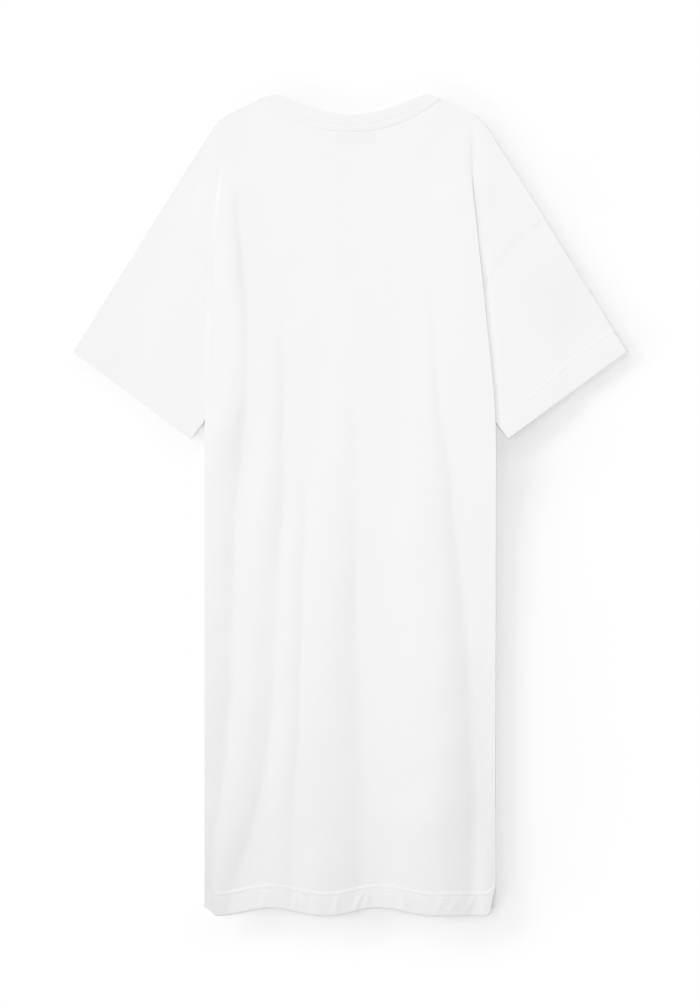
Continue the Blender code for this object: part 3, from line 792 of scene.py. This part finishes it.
back = {
    "across": 84,  # columns from the centre to the body's edge, a side
    "tuckColumns": 8,
    "shoulderColumns": 16,
    "shoulderCrowd": 1.7,  # power that crowds them towards the armhole
    "hemRows": (0, 0.4, 1.2, 3, 6, 10, 14, 18, 22, 25, 26.4, 27.0, 27.5, 28.0, 28.8, 30, 31.4, 32.4,
                33.0, 33.6, 34.4, 36, 39, 43),  # mm above the hem's edge
    "bodyRows": 92,
    "armholeRows": 64,
    "topRows": 24,
    "topCrowd": 1.5,
    "hem": 0.033,
    "hemWall": 0.0016,
    "cut": (0.550, 1.166),  # across the drop shoulders, and from the neck point to the hem
    "cutArea": 0.590,
    "edgeInset": (0.0006, 0.0002),  # its folded edge lies this far inside the front's, left and right
    "edgeInsetTop": (0.78, 0.60),  # below this height
    "edgeInsetEase": 0.1,
    "edgeColumns": (2.4, 1.3, 0.6, 0.25),  # mm, the last columns before the edge
    "armholeLength": 0.23,
    "hemPullIn": 0.007,  # its right hem corner is drawn in
    "hemPullUp": 0.040,
    "tuckHemRise": 0.003,
    "frontHemRise": 0.002,
    "armholeShare": 0.55,  # of the rows above the underarm
}


def crowded(count, power):
    # 1 - (1 - k / count)^power, crowding towards 1
    return 1 - (1 - np.arange(1, count + 1) / count) ** power


def rowUp(place, low, share, side, isBack):
    # rows ease from the hem's wave to the underarm, and from there to the panel's top edge
    topEdge = backTop if isBack else frontTop
    hem = hemUp(side * place) + (0.0 if isBack else back["frontHemRise"])
    below = hem + share * (form["underarmUp"] - hem)
    above = form["underarmUp"] + share * (topEdge(place) - form["underarmUp"])
    return np.where(low, below, above)


def sideEdge(share, side, isBack):
    # outer edge above the underarm: up the armhole, then up the outline
    inset = form["seamInset"] if isBack else form["foldInset"]
    nearEnd = np.linspace(1.0, 0.9, 41)
    end = armhole(nearEnd, side)
    endAlong = np.interp(inset, insideOuter(end[:, 0], end[:, 1]), nearEnd)
    low = armhole(np.clip(share / back["armholeShare"], 0, 1) * endAlong, side)
    high = np.clip((share - back["armholeShare"]) / (1 - back["armholeShare"]), 0, 1)
    endOut = float(armhole(endAlong, side)[..., 0])
    cornerOut = form["cornerOut"] - inset * math.sin(form["shoulderAngle"])
    out = endOut * (1 - high) + cornerOut * high
    top = np.stack((out, outlineUp(out, inset)), axis=-1)
    return np.where((share <= back["armholeShare"])[..., None], low, top)


def panelHalf(side, isBack, low, share, across):
    # a row runs out flat, turns over, runs back, turns again and runs out to the armhole
    low = low[:, None]
    share = share[:, None]
    upSign = -1.0 if isBack else 1.0
    firstUp = rowUp(np.full((1, 1), form["edges"][0][2] - foldReach), low, share, side, isBack)
    start = bodyEdge(firstUp, side) - foldReach
    if isBack:
        inset, insetTop = [back[key][1 if side > 0 else 0] for key in ("edgeInset", "edgeInsetTop")]
        start = start - inset * ease((insetTop - firstUp) / back["edgeInsetEase"])
    if isBack and side > 0:
        start = start - back["hemPullIn"] * ease(1 - firstUp / back["hemPullUp"])
    out = across * start
    up = rowUp(out, low, share, side, isBack)
    foldUp = up[:, -1:]
    z = np.full_like(out, rest)
    grey = np.zeros_like(out)
    if isBack:
        z = backHeight(out, up, side) + backRelief(side * out, up) - seamDip(backTop(out) - up)
        # the label shows through, with painted shade along its outline
        grey = labelShowThroughAndEdgeShade(side * out, up)

    def turned(fromOut, fromZ, turn):
        # short steps on from the last column, each the way that the cloth has turned by then
        along, across = turning(turn)
        return fromOut[:, -1:] + along, fromZ[:, -1:] + upSign * across

    angle = foldAngle(foldUp)
    depth = tuckDepth(foldUp, side)
    tuckUp = foldUp + np.where(low, back["tuckHemRise"] * (1 - share), 0.0)
    turnOut, turnZ = turned(out, z, angle * turnPlace)
    run = np.arange(1, back["tuckColumns"] + 1) / back["tuckColumns"]
    runOut = turnOut[:, -1:] + depth * np.cos(angle) * run
    runZ = turnZ[:, -1:] + upSign * depth * np.sin(angle) * run
    if isBack:
        under = backHeight(runOut, tuckUp, side) + backRelief(side * runOut, tuckUp) - pitch
        runZ = np.where(foldUp < form["foldFlat"], under, runZ)
    againOut, againZ = turned(runOut, runZ, angle * (1 - turnPlace))
    tuckOut = np.concatenate((turnOut, runOut, againOut), axis=1)
    tuckZ = np.concatenate((turnZ, runZ, againZ), axis=1)
    if isBack:  # where the tuck has hardly begun, the shoulder's drop runs on over it
        begun = fallHeight(shoulderDrop, side * out[:, -1:], tuckUp)
        level = np.clip(np.cos(angle), 0, 1)
        tuckZ = tuckZ + level * (fallHeight(shoulderDrop, side * tuckOut, tuckUp) - begun)

    end = sideEdge(share[:, 0], side, isBack)
    part = crowded(back["shoulderColumns"], back["shoulderCrowd"])
    lastOut = againOut[:, -1:] + (end[:, :1] - againOut[:, -1:]) * part
    lastUp = tuckUp + (end[:, 1:] - tuckUp) * part
    lastZ = lowLayer(lastOut, lastUp, side)
    lastGrey = np.zeros_like(lastOut)
    if isBack:
        onArmhole = share <= back["armholeShare"]
        far = np.hypot(lastOut - end[:, :1], lastUp - end[:, 1:])
        far = np.where(onArmhole, far, insideOuter(lastOut, lastUp) - form["seamInset"])
        along = share / back["armholeShare"] * back["armholeLength"]
        wave = pucker(along, seaming["seed"] + side, seaming) * onArmhole * bell(far / seaming["wide"])
        lastZ = upperLayer(lastOut, lastUp, side) + sleeveRelief(side * lastOut, lastUp, side)
        lastZ = lastZ - seaming["dip"] * seamDip(far) + wave
        # painted shade along the armhole seam
        lastGrey = seamShowThroughAndShade(along, far, side) * onArmhole

    outs = np.concatenate((out, tuckOut, lastOut), axis=1)
    ups = np.concatenate((up, np.broadcast_to(tuckUp, tuckOut.shape), lastUp), axis=1)
    zs = np.concatenate((z, tuckZ, lastZ), axis=1)
    grid = np.stack((side * outs, ups + hemLine, zs), axis=-1)
    # below the underarm the cloth ends inside the tuck
    inTuck = np.arange(outs.shape[1]) < out.shape[1] + turnSteps + back["tuckColumns"]
    return grid, inTuck | ~low, np.concatenate((grey, np.zeros_like(tuckOut), lastGrey), axis=1)


def panelGrid(isBack, bodyRows, flatColumns):
    # low rows by height above the hem, then rows up the armhole and to the top; both halves are
    # joined at the centre line, and columns crowd towards the body's edge
    hem = np.array(back["hemRows"]) / 1000 / form["underarmUp"]
    body = np.linspace(hem[-1], 1, bodyRows + 1)[1:-1]
    armholeRows = np.linspace(0, back["armholeShare"], back["armholeRows"] + 1)
    top = back["armholeShare"] + (1 - back["armholeShare"]) * crowded(back["topRows"], back["topCrowd"])
    share = np.concatenate((hem, body, armholeRows, top))
    low = np.arange(len(share)) < len(hem) + len(body)
    last = 1 - np.array(back["edgeColumns"]) / 1000 / form["halfChest"]
    across = np.concatenate((np.linspace(0, last[0], flatColumns - len(last) + 1), last[1:], (1.0,)))
    halves = [panelHalf(side, isBack, low, share, across) for side in (-1, 1)]
    grid, keep, grey = [np.concatenate((left[:, :0:-1], right), axis=1) for left, right in zip(*halves)]
    along = lengthAlong(grid)
    centre = grid.shape[1] // 2
    uv = np.stack((along - along[:, centre:centre + 1], grid[..., 1] - hemLine), axis=-1)
    above = np.where(low, share * form["underarmUp"], 1.0)
    return grid, keep, uv, grey, above


backGrid, backKeep, backUv, backGrey, above = panelGrid(True, back["bodyRows"], back["across"])
backThick = hemWalls(above, back["hem"], back["hemWall"])
backGrid[..., 2] += ((backThick - wall) / 2)[:, None]
backGrid[..., 2] += stitchRelief(above, backUv[..., 0], "body", stitching["seed"]["body"])
# painted shade between the hem's stitch rows
backGrey = backGrey + stitchShowThroughAndShade(above, "body")
backCloth = clothShell("back_cloth", backGrid, backThick[:, None], backUv, jersey, keep=backKeep,
                       grey=backGrey)
takesOver(backCloth, "back_panel")
backCentre = backGrid.shape[1] // 2
topColumns = slice(backCentre - back["across"], backCentre + back["across"] + 1)
backStitches = hemStitches("back_hem_stitches", "body", backGrid, backThick, above, topColumns)

front = {
    "across": 24,
    "bodyRows": 60,
    "cut": (0.570, 1.171),  # as the back, with what turns over the shoulders to their seams
    "cutArea": 0.577,
}
frontGrid, frontKeep, frontUv, _, above = panelGrid(False, front["bodyRows"], front["across"])
frontThick = hemWalls(above, back["hem"], wall)
frontCloth = clothShell("front_cloth", frontGrid, frontThick[:, None], frontUv, jersey, keep=frontKeep)
takesOver(frontCloth, "front_panel")

sleeve = {
    "across": 72,
    "seamRows": (0, 0.8, 1.8, 3.2, 5.5, 9),  # mm from the armhole seam
    "middleRows": 44,
    "hemRows": (43, 40, 38.4, 37.6, 36.8, 35.5, 33.5, 32.9, 32.4, 31.8, 30, 26, 21, 16, 11, 7, 4, 1.8,
                0.7, 0),  # mm from the hem's edge
    "hem": 0.038,
    "hemWall": 0.0014,
    "edgeSoft": 0.012,  # the upper cloth comes down to the lower over this width
    "around": 0.42,  # metres round the cuff
    "puckerShare": 0.7,  # its stitches pucker less than the body's
    "patch": (0.306, 0.880, 0.040, 0.058, 0.22),  # painted shadow of a soft fold on the right sleeve: x, up, width, height, grey
    "patchEnds": 1.5,  # in widths or heights from its middle
    "cut": (0.520, 0.222),  # all round at the armhole, and down the outer fold
    "cutArea": 0.085,
}


def halfTurn(begin, before):
    # short steps on from the edge of the upper cloth that turn over to the lower cloth
    run = unit(begin[:, :2] - before[:, :2])
    outward, drop = turning(math.pi * turnPlace[:-1])
    place = begin[:, None, :2] + run[:, None] * outward[:, None]
    return np.concatenate((place, (begin[:, 2:] - drop)[..., None]), axis=-1)


def sleeveTube(node, side):
    # a flattened tube: upper cloth, half turn, lower cloth, half turn, from armhole to hem
    tip = downSleeve(form["tipAlong"])
    cuff = np.array(form["cuffLow"])
    length = form["tipAlong"] - form["armholeAlong"]
    first = np.array(sleeve["seamRows"]) / 1000 / length
    last = 1 - np.array(sleeve["hemRows"]) / 1000 / length
    middle = np.linspace(first[-1], last[0], sleeve["middleRows"] + 1)[1:-1]
    share = np.concatenate((first, middle, last))[:, None, None]
    down = np.linspace(1, 0, sleeve["across"] + 1)
    seam = armhole(down, side)
    opening = tip + (cuff - tip) * (1 - down)[:, None]
    flat = seam * (1 - share) + opening * share
    out = flat[..., 0]
    up = flat[..., 1]
    lowZ = lowLayer(out, up, side)
    topZ = upperLayer(out, up, side) + sleeveRelief(side * out, up, side)
    inside = ease(np.minimum(down, 1 - down) * np.linalg.norm(seam[0] - seam[-1]) / sleeve["edgeSoft"])
    topZ = lowZ + pitch + (topZ - lowZ - pitch) * inside
    fromSeam = share[..., 0] * length
    along = (down * back["armholeLength"])[None, :]
    wave = pucker(along, seaming["seed"] + side, seaming) * bell(fromSeam / seaming["wide"])
    topZ = topZ - seaming["dip"] * seamDip(fromSeam) + wave * inside
    upper = np.dstack((out, up, topZ))
    lower = np.dstack((out, up, lowZ))[:, ::-1]
    grid = np.concatenate((upper, halfTurn(upper[:, -1], upper[:, -2]), lower,
                           halfTurn(upper[:, 0], upper[:, 1])[:, ::-1]), axis=1)

    fromHem = (1 - share[:, 0, 0]) * length
    thick = hemWalls(fromHem, sleeve["hem"], sleeve["hemWall"])
    columns = upper.shape[1]
    isUpper = np.arange(grid.shape[1]) < columns
    around = np.linspace(0, sleeve["around"], grid.shape[1])
    seed = stitching["seed"]["sleeve"] + side
    grid[..., 2] += ((thick - wall) / 2)[:, None] * isUpper
    grid[..., 2] += stitchRelief(fromHem, around, "sleeve", seed, sleeve["puckerShare"]) * isUpper
    grid[..., 0] *= side
    grid[..., 1] += hemLine
    uv = ringUv(grid, fromSeam)
    walls = np.where(isUpper, thick[:, None], np.minimum(thick, wall)[:, None])
    onTop = slice(0, columns) if side > 0 else slice(columns - 1, None, -1)
    stitches = hemStitches(node + "_cloth_stitches", "sleeve", grid, thick, fromHem, onTop)
    # painted shadow of a soft fold on the right sleeve
    patchX, patchUp, patchWide, patchHigh, foldShadowGrey = sleeve["patch"]
    fromPatch = np.hypot((out - patchX) / patchWide, (up - patchUp) / patchHigh)
    patch = foldShadowGrey * ease(sleeve["patchEnds"] - fromPatch) * (side > 0)
    grey = np.zeros(grid.shape[:2])
    # painted shade of the seam's puckers, of a soft fold and between the hem's stitch rows, partly allowance
    # and hem edge showing through
    grey[:, :columns] = seamShowThroughAndShade(along, fromSeam, side) + patch + stitchShowThroughAndShade(fromHem, "sleeve")
    if side < 0:
        grid, walls, uv, grey = [values[:, ::-1] for values in (grid, walls, uv, grey)]
    cloth = clothShell(node + "_cloth", grid, walls, uv, jersey, closed=True, grey=grey)
    return cloth, stitches


for side, node in ((-1, "sleeve_left"), (1, "sleeve_right")):
    piece, stitches = sleeveTube(node, side)
    takesOver(piece, node)

shoulder = {
    "along": 70,
    "turnSteps": 8,
    "run": (0.8, 1.6, 2.4, 3.0, 3.5, 3.9, 4.2, 4.5),  # mm inside the outline
}


def shoulderFold(name, side):
    # the front's cloth turns over the shoulder in a half circle and runs to the seam on the back
    out = np.linspace(form["seamOut"], downSleeve(form["armholeAlong"])[0], 400)
    path = np.stack((out, outlineUp(out)), axis=-1)
    length = lengthAlong(path)
    even = np.linspace(0, length[-1], shoulder["along"] + 1)
    path = np.stack([np.interp(even, length, path[:, k]) for k in (0, 1)], axis=-1)
    tangent = unit(np.gradient(path, axis=0))
    outward = np.stack((-tangent[:, 1], tangent[:, 0]), axis=-1)
    turnOut = -form["foldInset"] * (1 - ease(even / length[-1]))[:, None]
    turn = np.linspace(0, math.pi, shoulder["turnSteps"] + 1)
    run = np.array(shoulder["run"]) / 1000
    far = np.concatenate((np.full((len(even), 1), -form["foldInset"]), turnOut + pitch / 2 * np.sin(turn),
                          turnOut * (1 - run / run[-1]) - run), axis=1)
    place = path[:, None, :] + outward[:, None, :] * far[..., None]
    out, up = place[..., 0], place[..., 1]
    over = np.concatenate(((0,), (1 - np.cos(turn)) / 2, np.ones(len(run))))
    high = upperLayer(out, up, side) + sleeveRelief(side * out, up, side)
    z = lowLayer(out, up, side) * (1 - over) + high * over
    z = z - seaming["dip"] * seamDip(far + form["seamInset"]) * (over == 1)
    grid = np.stack((side * out, up + hemLine, z), axis=-1)
    uv = np.stack((np.broadcast_to(even[:, None], far.shape), lengthAlong(grid)), axis=-1)
    return clothShell(name, grid, wall, uv, jersey)


shoulderFolds = [shoulderFold("shoulder_fold_left", -1), shoulderFold("shoulder_fold_right", 1)]
print("shoulders made")

neckband = {
    "across": 56,  # columns over the back, and again over the front
    "turnSteps": 8,
    "rows": (0, 0.25, 0.7, 1.3, 2.2, 3.6, 5.5, 7.5, 9.5, 11.3, 12.7, 13.6, 14.3, 14.9, 15.5, 16.3, 17.3,
             18.4, 19.5, 20.6, 21.6, 22.5, 23.2, 23.8, 24.3, 24.7, 25.0),  # mm from the inner edge
    "wall": 0.0012,
    "clear": 0.00005,
    "innerWall": (0.0014, 0.40),  # width and share to which it thins at the inner edge
    "outerWall": (0.0236, 0.0014, 0.35),  # where, over what width and by what share it thins at the seam
    "roundBy": 0.0022,  # the inner edge turns softly at the neck points
    "roundOver": 0.0075,
    "cut": (0.025, 0.66),  # the doubled band's finished width, and all round
    "relief": ((0.0149, 0.0010, -0.00030), (0.0196, 0.0024, 0.00024), (0.0252, 0.0014, -0.00038),
               (0.0075, 0.0050, 0.00010)),  # place, width, height of each bell
    # painted shade in the groove and along the seam, at dips of the relief: place, width, share of the grey
    "grey": ((0.0149, 0.0012, 0.30), (0.0247, 0.0012, 0.38)),
    "shadeFades": 0.8,  # the painted shade fades by this share towards the shoulders
    "colour": "#EEEEEF",
    "rib": 2.0,  # mm from rib to rib; real ones are 1 mm apart, too fine to show
    "ribDepth": 0.00008,
}


def ribKnit(name):
    # Cotton 1x1 rib with a little elastane: the same bleached white, denser, with fine ribs
    # running across the band.
    material = surface(name, 0.88, 0.05)
    tree = material.node_tree
    greyedAndShaded(tree, colour(neckband["colour"]))
    uv = addNode(tree, "ShaderNodeUVMap", uv_map="cloth").outputs["UV"]
    ribbed(tree, uv, neckband["rib"], neckband["ribDepth"])
    return material


def bells(far, rows):
    return sum(high * bell((far - place) / width) for place, width, high in rows)


def makeNeckband():
    # a flat ring: over the back neck, round at each shoulder and under to the front. Its edges are
    # power curves over the back, 1 - |s|^p, and half ellipses round the front
    share = np.linspace(-1, 1, 2 * neckband["across"] + 1)
    angle = share * math.pi / 2
    rise = form["seamUp"] - form["neckUp"] + form["ribWidth"]
    points = ((form["neckOut"], form["neckUp"]), (form["seamOut"], form["seamUp"]))
    backEdges, frontEdges = [], []
    for (out, up), deeper, curve in zip(points, (0.0, rise), (form["backCurve"], form["backSeamCurve"])):
        backUp = up - (deeper + form["backDrop"]) * (1 - np.abs(share) ** curve)
        backEdges.append(np.stack((out * share, backUp), axis=-1))
        frontUp = up - (deeper + form["frontDrop"]) * np.cos(angle)
        frontEdges.append(np.stack((out * np.sin(angle), frontUp), axis=-1))
    fold = unit(np.subtract(points[1], points[0]))
    turns = np.linspace(0, math.pi, neckband["turnSteps"] + 1)[1:-1]
    parts = []
    for edges, mirror in ((backEdges, 1), (frontEdges, -1)):
        turnedBy = np.full(len(share), 0.0 if mirror > 0 else math.pi)
        parts.append([edge[::mirror] for edge in edges] + [np.zeros((len(share), 2)), turnedBy])
        passed = turns[::mirror]
        outward = np.sin(passed)[:, None] * np.array((-mirror * fold[1], fold[0]))
        ends = [np.tile((mirror * out, up), (len(turns), 1)) for out, up in points]
        parts.append(ends + [outward, passed])
    inner, outer, shift, turn = [np.concatenate(values) for values in zip(*parts)]

    far = np.array(neckband["rows"]) / 1000
    reach = pitch / 2 + bells(far, neckband["relief"])[:, None]
    fromPoint = np.hypot(np.abs(inner[:, 0]) - form["neckOut"], inner[:, 1] - form["neckUp"])
    drawn = neckband["roundBy"] * bell(fromPoint / neckband["roundOver"])
    part = (far / form["ribWidth"])[:, None]
    part = part + (1 - part) * drawn / form["ribWidth"]
    flat = inner + (outer - inner) * part[..., None] + shift * reach[..., None]
    z = neckband["wall"] / 2 + neckband["clear"] + pitch / 2 + np.cos(turn) * reach
    grid = np.dstack((flat[..., 0], flat[..., 1] + hemLine, z))
    innerWidth, thin = neckband["innerWall"]
    outerStart, outerWidth, outerLess = neckband["outerWall"]
    thick = (neckband["wall"] * (thin + (1 - thin) * ease(far / innerWidth))
             * (1 - outerLess * ease((far - outerStart) / outerWidth)))
    # painted shade along the rib's groove and seam, fading towards the shoulders
    fading = 1 - neckband["shadeFades"] * (inner[:, 0] / form["neckOut"]) ** 4
    return clothShell("neckband", grid, thick[:, None], ringUv(grid, far[:, None]),
                      ribKnit("cotton_rib_bleached"), closed=True,
                      grey=bells(far, neckband["grey"])[:, None] * fading)


neckRib = makeNeckband()
takesOver(neckRib, "neck_rib")


def wovenTape(name):
    # Polyester satin tape, white: smooth, with a soft shine across its fine ribs.
    material = surface(name, 0.45, 0.05, "#F4F4F2")
    tree = material.node_tree
    place = addNode(tree, "ShaderNodeTexCoord").outputs["Object"]
    ribbed(tree, place, label["rib"], label["ribDepth"])
    return material


def makeLabel():
    # a flat tape, bowed a little along its length: z = middle + bow cos(3 pi s)
    x, up = np.meshgrid(np.linspace(*label["x"], label["columns"]), np.linspace(*label["up"], label["rows"]))
    share = (x - label["x"][0]) / (label["x"][1] - label["x"][0])
    z = label["middle"] + label["bow"] * np.cos(3 * math.pi * share)
    toRim = np.minimum(np.minimum(x - label["x"][0], label["x"][1] - x),
                       np.minimum(up - label["up"][0], label["up"][1] - up))
    thick = label["thick"] * (0.5 + 0.5 * ease(toRim / label["rimWidth"]))
    return clothShell("neck_label_tape", np.stack((x, up + hemLine, z), axis=-1), thick,
                      np.stack((x, up), axis=-1), wovenTape("satin_tape_white"))


tape = makeLabel()
takesOver(tape, "neck_label")

studio = {
    "lens": 85.0,
    "sensor": 36.0,
    "frameHeight": 1.4414,  # metres seen from top to bottom, at this height above the table
    "frameAt": 0.006,
    "middle": (0.0, 0.00016),
    "floor": "#FBFBFB",
    "floorShade": 0.965,  # the same, linear
    "floorHalf": 40,  # metres
    "floorHeight": -0.0002,
    "world": 0.37,
    # parallel lights: name, strength, elevation, azimuth, softness in degrees, what they light
    "suns": (("key", 1.52, 25, 160, 55, "cloth"), ("cloth_top", 0.60, 86, 90, 60, "cloth"),
             ("floor_top", 1.200, 88, 90, 50, "floor")),
    # fans of low light that graze the floor: middle, half width and height in degrees,
    # softness, and the floor brightness that each gives
    "grazing": ((155, 20, 22.0, 12.0, 0.054), (150, 20, 5.6, 3.0, 0.137), (160, 10, 4.2, 2.4, 0.061),
                (230, 20, 3.5, 2.2, 0.048), (190, 10, 2.5, 1.6, 0.048), (70, 20, 7.0, 4.5, 0.036),
                (120, 20, 7.0, 4.5, 0.035)),
    "fanStep": 10,  # degrees
    "overheadSize": (1.6, 1.4),
    "overheadEnergy": 9.6,
    "overheadPlace": (0.0, 0.42, 1.45),
    "whiteIn": 1.25,  # the tone curve's range
    "tone": ((0.90, 0.90), (1.14, 1.0)),
}


def addObject(name, data):
    made = bpy.data.objects.new(name, data)
    bpy.context.scene.collection.objects.link(made)
    return made


camera = addObject("camera", bpy.data.cameras.new("camera"))
camera.data.lens = studio["lens"]
camera.data.sensor_width = studio["sensor"]
cameraHeight = studio["frameHeight"] * studio["lens"] / studio["sensor"] + studio["frameAt"]
camera.location = (*studio["middle"], cameraHeight)
bpy.context.scene.camera = camera

# Matt white board, painted and sanded: even and without any shine.
floorMesh = bpy.data.meshes.new("floor")
floorMesh.from_pydata([(x * studio["floorHalf"], y * studio["floorHalf"], studio["floorHeight"])
                       for x, y in ((-1, -1), (1, -1), (1, 1), (-1, 1))], [], [(0, 1, 2, 3)])
floorMesh.materials.append(surface("matt_white_board", 0.85, 0.0, studio["floor"]))
floor = addObject("floor", floorMesh)
floor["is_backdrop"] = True

world = bpy.data.worlds.new("studio")
world.use_nodes = True
world.node_tree.nodes["Background"].inputs["Color"].default_value = (1.0, 1.0, 1.0, 1.0)
world.node_tree.nodes["Background"].inputs["Strength"].default_value = studio["world"]
bpy.context.scene.world = world

lit = {name: bpy.data.collections.new("lit_" + name) for name in ("cloth", "floor")}
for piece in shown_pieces():
    lit["cloth"].objects.link(piece)
lit["floor"].objects.link(floor)


def sunLight(name, strength, elevation, azimuth, softness, receivers):
    # parallel light; azimuth is where it comes from, anticlockwise from +X
    lamp = addObject(name, bpy.data.lights.new(name, "SUN"))
    lamp.data.energy = strength
    lamp.data.angle = math.radians(softness)
    lamp.rotation_euler = (0.0, math.radians(90 - elevation), math.radians(azimuth))
    lamp.light_linking.receiver_collection = lit[receivers]


for sun in studio["suns"]:
    sunLight(*sun)
for middle, half, elevation, softness, share in studio["grazing"]:
    azimuths = np.arange(middle - half, middle + half + 1, studio["fanStep"])
    strength = share / len(azimuths) * math.pi / studio["floorShade"] / math.sin(math.radians(elevation))
    for azimuth in azimuths:
        sunLight("floor_low", strength, elevation, float(azimuth), softness, "floor")

overhead = addObject("overhead", bpy.data.lights.new("overhead", "AREA"))
overhead.data.shape = "RECTANGLE"
overhead.data.size, overhead.data.size_y = studio["overheadSize"]
overhead.data.energy = studio["overheadEnergy"]
overhead.location = studio["overheadPlace"]
overhead.visible_camera = False
overhead.light_linking.receiver_collection = lit["cloth"]

# The tone curve is straight up to 0.90 and then rises less, so that bright cloth keeps its form.
view = bpy.context.scene.view_settings
view.view_transform = "Standard"
view.use_curve_mapping = True
tone = view.curve_mapping
tone.white_level = (studio["whiteIn"],) * 3
combined = tone.curves[3]
combined.points[0].location = (0.0, 0.0)
combined.points[1].location = (1.0, 1.0)
for place, value in studio["tone"]:
    combined.points.new(place / studio["whiteIn"], value)
for point in combined.points:
    point.handle_type = "VECTOR"
tone.update()
print("stage made")
